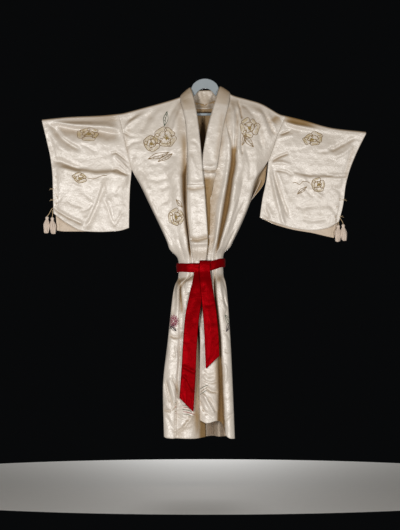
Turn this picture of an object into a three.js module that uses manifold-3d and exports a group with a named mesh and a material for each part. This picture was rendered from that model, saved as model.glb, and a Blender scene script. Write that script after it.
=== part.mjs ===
// Kimono of cream satin on a plain hanger, its sleeves spread and its waist tied with a red sash.
// Millimetres. X runs to the viewer's right, Y from the front to the back, Z up.
// The origin is the top of the hanger, where it is held up.
// "right" and "left" are the wearer's, so the right half is at the viewer's left.
import * as THREE from "three";
import { mergeGeometries, mergeVertices } from "three/addons/utils/BufferGeometryUtils.js";
import Module from "manifold-3d";

const wasm = await Module();
wasm.setup();

// Cloth
const CLOTH = 2; // wall of the satin and its lining together
const COLLAR_WALL = 2.2; // the collar is folded double
const SEAM = 0.7; // gap at a butted seam
const LAYER = 5; // from one layer's middle to the next where they lie on each other
const TUCK = { body: 3, overlap: 7 }; // how far each edge goes in under the collar
const SHOULDER_ROUND = 8; // radius of the fold over the shoulder and the sleeve's top
const GATHER = { reach: 0.7, clear: 4.2, halfHigh: 24 }; // how the sash draws the cloth in

// Hanger: its arch, then the outline of one arm from the arch round its tip and back, as [x, z]
const HANGER = {
  thick: 9, bevel: 2.5, archRadius: 63, archHalf: 46, archInner: 40, innerHalf: 30, bandDepth: 40,
};
const HANGER_ARM = [
  [50, -26.7], [60, -49], [78, -66], [102, -82], [135, -98], [165, -110],
  [196, -120], [206, -125], [210, -132], [203, -138], [190, -138],
  [160, -130], [130, -121], [100, -108], [72, -90], [52, -77], [38, -65],
];
const HANGER_BAR = { z: -143.3, high: 10, thick: 6, half: 194, bevel: 1.5 };

// Sash
const SASH = { wall: 2.4, width: 36, halfWide: 95, halfDeep: 51, centreX: -17, leftZ: -757, rightZ: -737 };
const KNOT = { depth: 3, bevel: 3, bevelDeep: 2.5, forward: 5.1, z: -752 };
const TAIL = { wall: 2, steps: 16, bow: 1.5, slantFrom: 0.55 };

// Heights of the sections below the armhole, and where each lies along a panel's length
const LEVEL = {
  shoulder: 0, nape: 0.12, yoke: 0.42, armpit: 1, slit: 1.5, rib: 2, high: 3,
  sashTop: 4, sashBottom: 5, hip: 6, lap: 6.5, thigh: 7, knee: 8, hem: 9,
};
const HEIGHT = { rib: -505, high: -645, hip: -845, thigh: -1045, knee: -1245, hem: -1434 };

// Each half of the body: its armhole, and the shoulder line from the neck to the armhole
const HALF = {
  right: {
    side: -1,
    armpitZ: -364,
    slitZ: -430,
    shoulder: [[-92, -72], [-126, -84], [-180, -100], [-250, -119], [-325, -139], [-344, -142]],
  },
  left: {
    side: 1,
    armpitZ: -325,
    slitZ: -408,
    shoulder: [[92, -53], [118, -62], [165, -73], [226, -99], [300, -144], [320, -149]],
  },
};

// Front of each half: one row a section, [x, y] for each fold line.
// Lines:          seam        ridge        inner        outer        side         edge
const FRONT = {
  right: {
    yoke:       [[-76, -36], [-100, -38], [-156, -28], [-240, -22], [-312, -15], [-323, -12]],
    armpit:     [[-82, 0], [-99, -50], [-168, -38], [-236, -30], [-282, -16], [-293, -10]],
    slit:       [[-82, 4], [-97, -54], [-154, -41], [-210, -34], [-248, -18], [-257, -8]],
    rib:        [[-80, 4], [-94, -56], [-140, -44], [-184, -37], [-214, -20], [-221, -6]],
    high:       [[-66, -12], [-74, -56], [-104, -48], [-130, -38], [-150, -20], [-155, -4]],
    sashTop:    [[-57, -35], [-64, -39], [-80, -32], [-95, -20], [-105, -6], [-104, 1]],
    sashBottom: [[-60, -34], [-66, -39], [-82, -31], [-96, -19], [-105, -6], [-104, 1]],
    hip:        [[-98, -42], [-106, -54], [-113, -50], [-119, -40], [-124, -22], [-118, -1]],
    thigh:      [[-100, -56], [-112, -66], [-124, -58], [-138, -60], [-147, -34], [-138, 2]],
    knee:       [[-112, -56], [-124, -68], [-138, -60], [-154, -60], [-167, -30], [-150, 6]],
    hem:        [[-116, -58], [-128, -68], [-142, -59], [-156, -58], [-163, -28], [-146, 8]],
  },
  left: {
    yoke:       [[72, -35], [126, -46], [148, -40], [196, -34], [278, -18], [289, -14]],
    armpit:     [[112, -22], [142, -52], [170, -44], [206, -38], [243, -18], [254, -10]],
    slit:       [[100, -16], [124, -56], [148, -46], [172, -40], [196, -22], [204, -10]],
    rib:        [[86, -12], [106, -58], [130, -48], [150, -42], [170, -24], [177, -6]],
    high:       [[58, -26], [68, -58], [84, -50], [98, -42], [110, -22], [115, -4]],
    sashTop:    [[42, -30], [49, -35], [58, -30], [65, -20], [72, -6], [71, 1]],
    sashBottom: [[40, -30], [48, -36], [58, -30], [66, -20], [72, -6], [71, 1]],
    hip:        [[38, -32], [48, -58], [60, -56], [74, -46], [85, -24], [82, -1]],
    thigh:      [[56, -28], [67, -62], [80, -64], [93, -52], [102, -28], [98, 2]],
    knee:       [[64, -14], [77, -58], [90, -64], [103, -52], [111, -26], [104, 6]],
    hem:        [[68, -8], [86, -54], [97, -64], [109, -52], [118, -28], [108, 8]],
  },
};
// The front hem's height under each line
const FRONT_HEM = {
  right: [-1436, -1437, -1436, -1434, -1430, -1428],
  left: [-1376, -1428, -1436, -1438, -1438, -1434],
};

// Largest folds of the front that don't follow its fold lines
const FRONT_FOLDS = {
  right: [],
  left: [{ from: [108, -130], to: [113, -300], wide: 11, forward: -16 }],
};

// Back of both halves: centre line, side edge on each half, depth of the cloth, height of its folds,
// depth at the edge
const BACK = {
  nape:       { centre: -1, right: -340, left: 312, depth: 28, fold: 0, edgeDepth: 10 },
  yoke:       { centre: -1, right: -323, left: 289, depth: 34, fold: 2, edgeDepth: 12 },
  armpit:     { centre: -1, right: -293, left: 254, depth: 42, fold: 3, edgeDepth: 12 },
  slit:       { centre: -2, right: -257, left: 244, depth: 46, fold: 4, edgeDepth: 9 },
  rib:        { centre: -5, right: -221, left: 177, depth: 52, fold: 5, edgeDepth: -6 },
  high:       { centre: -11, right: -155, left: 115, depth: 52, fold: 7, edgeDepth: -4 },
  sashTop:    { centre: -16, right: -104, left: 71, depth: 41, fold: 4, edgeDepth: 1 },
  sashBottom: { centre: -17, right: -104, left: 71, depth: 41, fold: 4, edgeDepth: 1 },
  hip:        { centre: -17, right: -118, left: 82, depth: 56, fold: 9, edgeDepth: -1 },
  thigh:      { centre: -18, right: -138, left: 98, depth: 70, fold: 15, edgeDepth: 2 },
  knee:       { centre: -19, right: -150, left: 104, depth: 78, fold: 19, edgeDepth: 6 },
  hem:        { centre: -20, right: -146, left: 108, depth: 82, fold: 22, edgeDepth: 8 },
};
const BACK_HEM = -1434;
const BACK_NECK = -103; // top of the back panels at the centre

// Front overlap panels, between the collar or the free front edge and the body's seam.
// Lines:          front       fold         middle
const OVERLAP = {
  right: {
    armpit:     [null, [-72, -50], [-78, -34]],
    slit:       [null, [-73, -49], [-79, -26]],
    rib:        [null, [-74, -50], [-79, -22]],
    high:       [null, [-61, -52], [-63, -34]],
    sashTop:    [null, [-51, -39.5], [-54, -37.5]],
    sashBottom: [null, [-54, -40], [-57, -37.5]],
    hip:        [[-24, -54], [-52, -54], [-90, -52]],
    lap:        [[-44, -42], [-50, -53], [-76, -60]],
    thigh:      [[-26, -34], [-33, -60], [-64, -70]],
    knee:       [[-4, -28], [-34, -58], [-72, -72]],
    hem:        [[4, -20], [-36, -58], [-76, -72]],
  },
  left: {
    armpit:     [null, [80, -50], [97, -54]],
    slit:       [null, [68, -50], [84, -57]],
    rib:        [null, [46, -50], [66, -60]],
    high:       [null, [34, -49], [45, -58]],
    sashTop:    [null, [19, -33], [30, -37]],
    sashBottom: [null, [19, -33], [30, -38]],
    hip:        [[-36, -37], [20, -41], [32, -54]],
    lap:        [[-30, -46], [4, -54], [36, -60]],
    thigh:      [[-20, -56], [6, -66], [42, -62]],
    knee:       [[-23, -54], [8, -68], [48, -60]],
    hem:        [[-22, -50], [8, -64], [42, -56]],
  },
};
const OVERLAP_HEM = { right: [-1432, -1437, -1437], left: [-1364, -1376, -1368] };
// Where each overlap panel's point starts, and where its seam has reached its fold, in sections
const OVERLAP_START = { right: { point: 0.6, full: 1.25 }, left: { point: 0.42, full: 1 } };

// Collar: one row a station, from its right end over the nape to its left end.
const COLLAR = [
  // inner edge x, y, z, then outer edge x, y, z
  { name: "right end", inner: [-20, -61, -857], outer: [-86, -58, -857] },
  { name: "right hip", inner: [-12, -58, -815], outer: [-78, -56, -815] },
  { name: "right sash bottom", inner: [-2, -46.5, -782], outer: [-52, -43.5, -782] },
  { name: "right sash top", inner: [3, -46.5, -733], outer: [-49, -43.5, -733] },
  { name: "right high", inner: [11, -66, -645], outer: [-59, -62, -645] },
  { name: "right rib", inner: [3, -68, -505], outer: [-72, -62, -505] },
  { name: "right armpit", inner: [-10, -62, -346], outer: [-70, -58, -346] },
  { name: "right yoke", inner: [-26, -46, -186], outer: [-78, -40, -186] },
  { name: "right neck front", inner: [-38, -31, -106], outer: [-95, -25, -110] },
  { name: "right shoulder front", inner: [-52, -12, -50], outer: [-101, -12, -82] },
  { name: "right shoulder top", inner: [-57, 0, -36], outer: [-103, 0, -69] },
  { name: "right shoulder back", inner: [-56, 12, -42], outer: [-99, 16, -80] },
  { name: "right nape", inner: [-40, 27, -47], outer: [-62, 32, -103] },
  { name: "nape", inner: [0, 31, -46], outer: [0, 35, -108] },
  { name: "left nape", inner: [40, 27, -44], outer: [62, 32, -98] },
  { name: "left shoulder back", inner: [57, 12, -38], outer: [99, 16, -62] },
  { name: "left shoulder top", inner: [58, 0, -32], outer: [104, 0, -51] },
  { name: "left shoulder front", inner: [53, -12, -46], outer: [102, -12, -64] },
  { name: "left neck front", inner: [36, -31, -104], outer: [97, -25, -104] },
  { name: "left yoke", inner: [13, -42, -186], outer: [77, -40, -186] },
  { name: "left armpit", inner: [-16, -50, -346], outer: [52, -50, -346] },
  { name: "left rib", inner: [-40, -50, -505], outer: [22, -50, -505] },
  { name: "left high", inner: [-44, -48, -645], outer: [17, -50, -645] },
  { name: "left sash top", inner: [-28, -36, -733], outer: [9, -36, -733] },
  { name: "left sash bottom", inner: [-30, -36, -782], outer: [9, -36, -782] },
  { name: "left hip", inner: [-38, -44, -815], outer: [15, -45, -815] },
  { name: "left end", inner: [-42, -48, -857], outer: [20, -48, -857] },
];
// The over-collar covers the collar between these stations
const OVER_COLLAR = { from: 5.5, to: 20.15, lift: 2.9, inset: 0.03, thick: 1.2 };

// Sleeves: the outer edge from its top corner down, and the lower edges, each as [x, z]
const SLEEVE = {
  right: {
    top: [[-344, -142], [-420, -149], [-536, -154], [-652, -165]],
    outer: [[-652, -165], [-634, -226], [-618, -306], [-610, -380], [-608, -460], [-606, -540]],
    inner: [[-293, -364], [-300, -420], [-303, -500], [-304, -598]],
    frontHem: [[-304, -598], [-346, -610], [-420, -614], [-484, -611], [-550, -580], [-606, -540]],
    backHem: [[-304, -598], [-360, -606], [-430, -610], [-500, -612], [-560, -612], [-594, -608]],
  },
  left: {
    top: [[320, -149], [390, -166], [512, -199], [644, -214]],
    outer: [[644, -214], [608, -306], [580, -386], [562, -414], [553, -480], [536, -572]],
    inner: [[254, -325], [246, -406], [230, -500], [219, -556]],
    frontHem: [[219, -556], [280, -577], [360, -600], [430, -608], [490, -598], [536, -572]],
    backHem: [[219, -556], [280, -584], [360, -606], [430, -618], [480, -630], [516, -638]],
  },
};
// How far each layer stands from the middle plane: in full, at the cuff and at the free inner edge
const SLEEVE_DEPTH = { front: 20, back: 20, outer: 9, inner: 10 };
// Shares of the sleeve's width and drop over which its depth swells from the seam, the top and the cuff
const SLEEVE_SWELL = { seam: 0.22, top: 0.25, folds: 0.08, from: 0.12, span: 0.94 };

// Largest folds of the sleeves' front layers: a line, its width, and how far it stands forward
const SLEEVE_FOLDS = {
  right: [
    { from: [-640, -172], to: [-330, -212], wide: 20, forward: 13 },
    { from: [-640, -176], to: [-345, -240], wide: 16, forward: -11 },
    { from: [-640, -185], to: [-500, -290], wide: 24, forward: -7 },
    { from: [-620, -362], to: [-290, -384], wide: 34, forward: 8 },
    { from: [-400, -470], to: [-455, -600], wide: 20, forward: -6 },
  ],
  left: [
    { from: [330, -190], to: [520, -196], wide: 18, forward: 9 },
    { from: [262, -330], to: [560, -402], wide: 30, forward: 7 },
    { from: [630, -232], to: [430, -330], wide: 26, forward: -7 },
    { from: [262, -345], to: [330, -590], wide: 22, forward: 8 },
  ],
};

// Sash tails: [middle x, y, z] down each, its width there, then how far its two lower corners are cut up
const TAILS = {
  right: {
    path: [
      [-26, -55.6, -779.7], [-30, -64, -815], [-36, -68, -860], [-52, -78, -960],
      [-60, -82, -1060], [-66, -84, -1180], [-74, -84, -1300],
    ],
    wide: [28, 40, 50, 56, 56, 56, 56],
    cut: [24, -28],
  },
  left: {
    path: [
      [0, -59.2, -779.7], [3, -67, -805], [7, -71, -840],
      [18, -78, -930], [26, -83, -1030], [30, -84, -1132],
    ],
    wide: [42, 45, 49, 54, 56, 54],
    cut: [-26, 24],
  },
};

// Tassels: the top of each one's head, where its cord is tied to the sleeve's corner, and its lean in degrees
const TASSELS = {
  tassel_right_outer: { head: [-631, -9, -551], tied: [-608.6, -9, -518], lean: -3 },
  tassel_right_inner: { head: [-611, -9, -554], tied: [-608.4, -9, -526], lean: 4 },
  tassel_left_inner: { head: [533, -10, -585], tied: [534.6, -10, -574.6], lean: -2 },
  tassel_left_outer: { head: [552, -8, -582], tied: [541.6, -9, -557], lean: 4 },
};
const TASSEL = {
  cordRadius: 1.6, cordInHead: 3, headRadius: 7.5, headHigh: 15, sides: 6,
  locks: 9, lockRoot: 2.2, lockRadius: 3.9, lockSides: 4, rootRadius: 4.1, inHead: 2.5,
  skirtRadius: 12.4, skirtHigh: 56, uneven: 0.07,
};
// The head's outline, as shares of its radius and its height
const TASSEL_HEAD = [[0, -1.13], [1, -1], [0.8, -0.8], [1, -0.35], [0.5, 0], [0, 0]];

const COLOUR = {
  satin: 0xe9dfcf,
  sash: 0xa30512,
  hanger: 0xa9b2b6,
  tassel: 0xdccdb8,
};

// A smooth curve through a table's values, which never overshoots them.
function through(at, values) {
  const last = at.length - 1;
  const rise = at.slice(1).map((x, i) => (values[i + 1] - values[i]) / (x - at[i]));
  const slope = at.map((x, i) => {
    if (i === 0 || i === last) return rise[Math.min(i, last - 1)];
    if (rise[i - 1] * rise[i] <= 0) return 0;
    return (2 * rise[i - 1] * rise[i]) / (rise[i - 1] + rise[i]);
  });
  return (x) => {
    const above = at.findIndex((a) => a > x);
    const i = above < 0 ? last - 1 : Math.max(0, above - 1);
    const span = at[i + 1] - at[i];
    const s = Math.max(0, Math.min(1, (x - at[i]) / span));
    return (
      values[i] * (1 + 2 * s) * (1 - s) ** 2 + slope[i] * span * s * (1 - s) ** 2 +
      values[i + 1] * s * s * (3 - 2 * s) - slope[i + 1] * span * s * s * (1 - s)
    );
  };
}

// A line through [x, z] points, read at a share of its length by number of points.
function line(points) {
  const at = points.map((p, i) => i / (points.length - 1));
  const reads = points[0].map((_, k) => through(at, points.map((p) => p[k])));
  return (share) => reads.map((read) => read(share));
}

const mix = (a, b, s) => a + (b - a) * s;
const soft = (s) => {
  const c = Math.max(0, Math.min(1, s));
  return c * c * (3 - 2 * c);
};

// Middle height of the sash at x, level on the right half and rising on the left.
function sashZ(x) {
  return mix(SASH.leftZ, SASH.rightZ, soft((x - SASH.centreX) / SASH.halfWide));
}

// A closed wall around a grid of middle points, rows of Vector3. A ring's last column is its first.
// Columns before "from" and after "to" belong to the neighbour across a seam and only set its slope.
function wall(rows, thick, { ring = false, from = 0, to = rows[0].length - 1 } = {}) {
  const nr = rows.length;
  const nc = rows[0].length;
  const wide = to - from + 1;
  const at = (r, c) => {
    const cc = ring ? (c + nc - 1) % (nc - 1) : Math.max(0, Math.min(nc - 1, c));
    return rows[Math.max(0, Math.min(nr - 1, r))][cc];
  };
  const side = (sign) => {
    const plane = new THREE.PlaneGeometry(1, 1, wide - 1, nr - 1);
    const position = plane.getAttribute("position");
    for (let r = 0; r < nr; r++) {
      for (let c = from; c <= to; c++) {
        const down = at(r + 1, c).clone().sub(at(r - 1, c));
        const over = at(r, c + 1).clone().sub(at(r, c - 1)).normalize();
        const normal = down.cross(over).normalize();
        const p = at(r, c).clone().addScaledVector(normal, (sign * thick) / 2);
        if (from > 0 && c === from) p.addScaledVector(over, SEAM / 2);
        if (to < nc - 1 && c === to) p.addScaledVector(over, -SEAM / 2);
        position.setXYZ(r * wide + c - from, p.x, p.y, p.z);
      }
    }
    if (sign < 0) {
      const index = plane.index.array;
      for (let i = 0; i < index.length; i += 3) [index[i + 1], index[i + 2]] = [index[i + 2], index[i + 1]];
    }
    return plane;
  };
  const front = side(1);
  const back = side(-1);
  const rim = (count, cell) => {
    const strip = new THREE.PlaneGeometry(1, 1, count - 1, 1);
    const position = strip.getAttribute("position");
    for (let i = 0; i < count; i++) {
      [front, back].forEach((g, j) => {
        const p = new THREE.Vector3().fromBufferAttribute(g.getAttribute("position"), cell(i));
        position.setXYZ(j * count + i, p.x, p.y, p.z);
      });
    }
    return strip;
  };
  const rims = [
    rim(wide, (c) => wide - 1 - c),
    rim(wide, (c) => (nr - 1) * wide + c),
  ];
  if (!ring) {
    rims.push(rim(nr, (r) => r * wide));
    rims.push(rim(nr, (r) => (nr - 1 - r) * wide + wide - 1));
  }
  return facingOut(mergeGeometries([front, back, ...rims]));
}

// The geometry with shared corners merged, turned so that its faces point out.
function facingOut(geometry) {
  geometry.deleteAttribute("normal");
  geometry.deleteAttribute("uv");
  const merged = mergeVertices(geometry, 1e-4);
  const p = merged.getAttribute("position");
  const index = merged.index.array;
  const [a, b, c] = [new THREE.Vector3(), new THREE.Vector3(), new THREE.Vector3()];
  let volume = 0;
  for (let i = 0; i < index.length; i += 3) {
    [a, b, c].forEach((v, k) => v.fromBufferAttribute(p, index[i + k]));
    volume += a.dot(b.cross(c));
  }
  if (volume < 0) {
    for (let i = 0; i < index.length; i += 3) [index[i + 1], index[i + 2]] = [index[i + 2], index[i + 1]];
  }
  return merged;
}

// Points across one section: a smooth curve through the fold lines, with steps between each two.
function across(points, steps) {
  const curve = new THREE.CatmullRomCurve3(points, false, "centripetal");
  const made = [points[0].clone()];
  steps.forEach((n, i) => {
    for (let k = 1; k <= n; k++) made.push(curve.getPoint((i + k / n) / steps.length));
  });
  return made;
}

// Collar edges, read at a station number.
const collarEdge = (edge) => {
  const at = COLLAR.map((_, i) => i);
  const reads = [0, 1, 2].map((k) => through(at, COLLAR.map((s) => s[edge][k])));
  return (station) => new THREE.Vector3(...reads.map((read) => read(station)));
};
const collarInner = collarEdge("inner");
const collarOuter = collarEdge("outer");

// Where a panel's edge lies under the collar's outer edge, at a height.
function underCollar(half, z, tuck) {
  const side = HALF[half].side;
  const [first, last] = side < 0 ? [0, 9] : [17, COLLAR.length - 1];
  const rows = COLLAR.slice(first, last + 1).map((s) => s.outer);
  if (side > 0) rows.reverse();
  const at = rows.map((o) => o[2]);
  const x = through(at, rows.map((o) => o[0]))(z);
  const y = through(at, rows.map((o) => o[1]))(z);
  return [x - side * tuck, y + LAYER];
}

// Keeps a point of the cloth inside the sash's loop between its two edges.
function gathered(p, t) {
  const { reach, clear } = GATHER;
  const hold = soft((t - LEVEL.sashTop + reach) / reach) * (1 - soft((t - LEVEL.sashBottom) / reach));
  const dx = (p.x - SASH.centreX) / (SASH.halfWide - clear);
  const dy = p.y / (SASH.halfDeep - clear);
  const out = Math.hypot(dx, dy);
  if (hold > 0 && out > 1) {
    const s = mix(1, 1 / out, hold);
    p.x = SASH.centreX + (p.x - SASH.centreX) * s;
    p.y *= s;
  }
  return p;
}

// Height of a panel's point at section t, given its x, the shoulder above it and the hem below it.
function heightAt(half, t, x, shoulderZ, hemZ) {
  const armpit = HALF[half].armpitZ;
  if (t <= 1) return mix(shoulderZ - SHOULDER_ROUND, armpit, t);
  const sash = sashZ(x);
  const known = [
    [LEVEL.armpit, armpit], [LEVEL.slit, HALF[half].slitZ],
    [LEVEL.rib, HEIGHT.rib], [LEVEL.high, HEIGHT.high],
    [LEVEL.sashTop, sash + GATHER.halfHigh], [LEVEL.sashBottom, sash - GATHER.halfHigh],
    [LEVEL.hip, HEIGHT.hip], [LEVEL.thigh, HEIGHT.thigh], [LEVEL.knee, HEIGHT.knee], [LEVEL.hem, hemZ],
  ];
  return through(known.map((k) => k[0]), known.map((k) => k[1]))(t);
}

// Fold line i of a half's front at section t.
function frontLine(half, i, t) {
  const { shoulder } = HALF[half];
  const names = Object.keys(FRONT[half]);
  const at = [0, ...names.map((n) => LEVEL[n])];
  const xs = [shoulder[i][0], ...names.map((n) => FRONT[half][n][i][0])];
  const ys = [-SHOULDER_ROUND, ...names.map((n) => FRONT[half][n][i][1])];
  let x = through(at, xs)(t);
  let y = through(at, ys)(t);
  const z = heightAt(half, t, x, shoulder[i][1], FRONT_HEM[half][i]);
  const { point, full } = OVERLAP_START[half];
  if (i === 0 && t < full) {
    const [ux, uy] = underCollar(half, z, TUCK.body);
    const free = soft((t - point) / (full - point));
    x = mix(ux, x, free);
    y = mix(uy, y, free);
  }
  return gathered(new THREE.Vector3(x, y, z), t);
}

// Fold line i of a half's back at section t, from the centre seam to the side.
function backLine(half, i, t) {
  const { shoulder } = HALF[half];
  const names = Object.keys(BACK);
  const at = names.map((n) => LEVEL[n]);
  const read = (key) => through(at, names.map((n) => BACK[n][key]))(Math.max(t, LEVEL.nape));
  const share = i / 5;
  const wave = i === 0 || i === 5 ? 0 : i % 2 ? -1 : 1;
  let x = mix(read("centre"), read(half), share);
  let y = mix(read("depth"), read("edgeDepth"), share ** 2) + wave * read("fold");
  if (i === 5) y += (CLOTH + SEAM) * soft(t - LEVEL.armpit);
  const z = heightAt(half, t, x, shoulder[i][1], BACK_HEM);
  const past = Math.max(0, (LEVEL.armpit - t) / (LEVEL.armpit - LEVEL.nape));
  const drop = t < LEVEL.nape ? t / LEVEL.nape : past;
  if (t < LEVEL.nape) {
    x = mix(shoulder[i][0], x, drop);
    y = mix(SHOULDER_ROUND, y, Math.sin((drop * Math.PI) / 2));
  }
  const neck = BACK_NECK - heightAt(half, LEVEL.nape, 0, shoulder[0][1], BACK_HEM);
  const near = i === 0 ? 1 : i === 1 ? 0.5 : 0;
  return gathered(new THREE.Vector3(x, y, z + neck * near * drop), t);
}

// Sections of a body panel: beside the armhole, and below it
const DROP = [0.06, 0.12, 0.26, 0.42, 0.6, 0.8, 1];
const FALL = [1.25, 1.5, 1.75, 2, 2.5, 3, 3.4, 3.7, 4, 4.5, 5, 5.3, 5.6, 6, 6.5, 7, 7.5, 8, 8.5, 9];
const TURN = [30, 60, 90].map((a) => (a * Math.PI) / 180);
const PANEL_STEPS = [2, 3, 2, 2, 3];
const OVERLAP_STEPS = [2, 2, 2];
const LINES = [0, 1, 2, 3, 4, 5];

// The fold over the shoulder at a turn from its top, facing the front (-1) or the back (1).
function overTop([x, z], turn, facing) {
  const round = SHOULDER_ROUND;
  return new THREE.Vector3(x, facing * round * Math.sin(turn), z - round * (1 - Math.cos(turn)));
}

// Fold line i of an overlap panel at section t: front edge, fold, middle.
function overlapLine(half, i, t) {
  const { point, full } = OVERLAP_START[half];
  const names = Object.keys(OVERLAP[half]);
  const at = names.map((n) => LEVEL[n]);
  const hem = OVERLAP_HEM[half][i];
  const shoulderZ = HALF[half].shoulder[0][1];
  const edgeAt = (level) => underCollar(half, heightAt(half, level, 0, shoulderZ, hem), TUCK.overlap);
  const known = names.map((n) => OVERLAP[half][n][i] ?? edgeAt(LEVEL[n]));
  const tableAt = (level) => [0, 1].map((k) => through(at, known.map((q) => q[k]))(level));
  let [x, y] = i === 0 && t <= LEVEL.sashBottom ? edgeAt(t) : tableAt(t);
  if (i > 0 && t < full) {
    const evenly = (level) => {
      const seam = frontLine(half, 0, level);
      const edge = edgeAt(level);
      return [mix(edge[0], seam.x, i / 3), mix(edge[1], seam.y, i / 3)];
    };
    const open = soft((t - point) / (full - point));
    [x, y] = evenly(t).map((v, k) => v + open ** (k + 1) * (tableAt(full)[k] - evenly(full)[k]));
  }
  return gathered(new THREE.Vector3(x, y, heightAt(half, t, x, shoulderZ, hem)), t);
}

// A front section right across: the overlap panel's points, then the body panel's from their seam.
function frontSection(half, t) {
  const body = LINES.map((i) => frontLine(half, i, t));
  const overlap = [0, 1, 2].map((i) => overlapLine(half, i, t));
  return folded(half, across([...overlap, ...body], [...OVERLAP_STEPS, ...PANEL_STEPS]));
}

// The points of a front section with its largest folds pressed in.
function folded(half, points) {
  points.forEach((p) => (p.y -= foldForward(FRONT_FOLDS[half], p.x, p.z)));
  return points;
}

const OVERLAP_COLUMNS = OVERLAP_STEPS.reduce((a, b) => a + b);

// One body panel: in one length from the front hem over the shoulder to the back hem.
function bodyPanel(half) {
  const sections = [...DROP, ...FALL];
  const { point } = OVERLAP_START[half];
  const { shoulder } = HALF[half];
  const front = sections.map((t) => {
    const whole = frontSection(half, t);
    const alone = t < point;
    const lines = LINES.map((i) => frontLine(half, i, t));
    const mine = alone ? folded(half, across(lines, PANEL_STEPS)) : whole.slice(OVERLAP_COLUMNS);
    const before = alone ? beyond(mine[0], mine[1]) : whole[OVERLAP_COLUMNS - 1];
    return [before, ...mine, sleeveBeside(half, -1, t, mine)];
  });
  const turned = (turn, facing) => {
    const mine = across(shoulder.map((p) => overTop(p, turn, facing)), PANEL_STEPS);
    const next = overTop(sleeveTop(half)(1 / SLEEVE_COLUMNS), turn, facing);
    return [beyond(mine[0], mine[1]), ...mine, next];
  };
  const back = sections.map((t) => {
    const mine = across(LINES.map((i) => backLine(half, i, t)), PANEL_STEPS);
    const before = mine[1].clone().setX(2 * mine[0].x - mine[1].x);
    return [before, ...mine, sleeveBeside(half, 1, t, mine)];
  });
  const rows = [
    ...front.reverse(),
    ...TURN.map((a) => turned(a, -1)).reverse(),
    turned(0, 1),
    ...TURN.map((a) => turned(a, 1)),
    ...back,
  ];
  return wall(rows, CLOTH, { from: 1, to: rows[0].length - 2 });
}

// One overlap panel, from its point down to the hem.
function overlapPanel(half) {
  const { point } = OVERLAP_START[half];
  const below = [...DROP, ...FALL].filter((t) => t > point + 0.02);
  const rows = [point, ...below].map((t) => frontSection(half, t).slice(0, OVERLAP_COLUMNS + 2));
  return wall(rows, CLOTH, { to: OVERLAP_COLUMNS });
}

// The point as far past a as b is before it.
function beyond(a, b) {
  return a.clone().multiplyScalar(2).sub(b);
}

const COLLAR_STEP = 0.5; // of a station
const COLLAR_BOW = 2; // how far the band's middle stands off its edges

// A band of the collar between two stations, lifted off it and set in from its edges.
function collarBand({ from, to, lift, inset, thick }) {
  const count = Math.round((to - from) / COLLAR_STEP);
  const rows = [];
  for (let k = 0; k <= count; k++) {
    const station = mix(from, to, k / count);
    const a = collarInner(station);
    const b = collarOuter(station);
    const along = collarInner(Math.min(station + 0.1, COLLAR.length - 1))
      .sub(collarInner(Math.max(station - 0.1, 0)));
    const normal = along.cross(b.clone().sub(a)).normalize();
    const row = [0, 1, 2, 3].map((c) => {
      const s = mix(inset, 1 - inset, c / 3);
      return a.clone().lerp(b, s).addScaledVector(normal, lift + COLLAR_BOW * Math.sin(Math.PI * s));
    });
    rows.push(row);
  }
  return wall(rows, thick);
}

// Each fold rises over this share of its line and fades out past the line's end
const FOLD_ENDS = { rise: 0.2, stop: 1.08, fade: 0.16 };

// How far a layer's folds bring it forward at x, z.
function foldForward(folds, x, z) {
  return folds.reduce((sum, f) => {
    const dx = f.to[0] - f.from[0];
    const dz = f.to[1] - f.from[1];
    const long = Math.hypot(dx, dz);
    const s = ((x - f.from[0]) * dx + (z - f.from[1]) * dz) / (long * long);
    const off = ((x - f.from[0]) * dz - (z - f.from[1]) * dx) / long;
    const ends = soft(s / FOLD_ENDS.rise) * soft((FOLD_ENDS.stop - s) / FOLD_ENDS.fade);
    return sum + f.forward * ends * Math.exp(-((off / f.wide) ** 2));
  }, 0);
}

const SLEEVE_COLUMNS = 10;
const SLEEVE_BELOW = [0.14, 0.28, 0.42, 0.58, 0.72, 0.86, 1]; // its sections below the armhole

function sleeveTop(half) {
  return line(SLEEVE[half].top);
}

// Share of a sleeve's drop that its armhole takes.
function armholeShare(half) {
  const topZ = SLEEVE[half].top[0][1] - SHOULDER_ROUND;
  return (HALF[half].armpitZ - topZ) / (SLEEVE[half].frontHem[0][1] - topZ);
}

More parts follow.
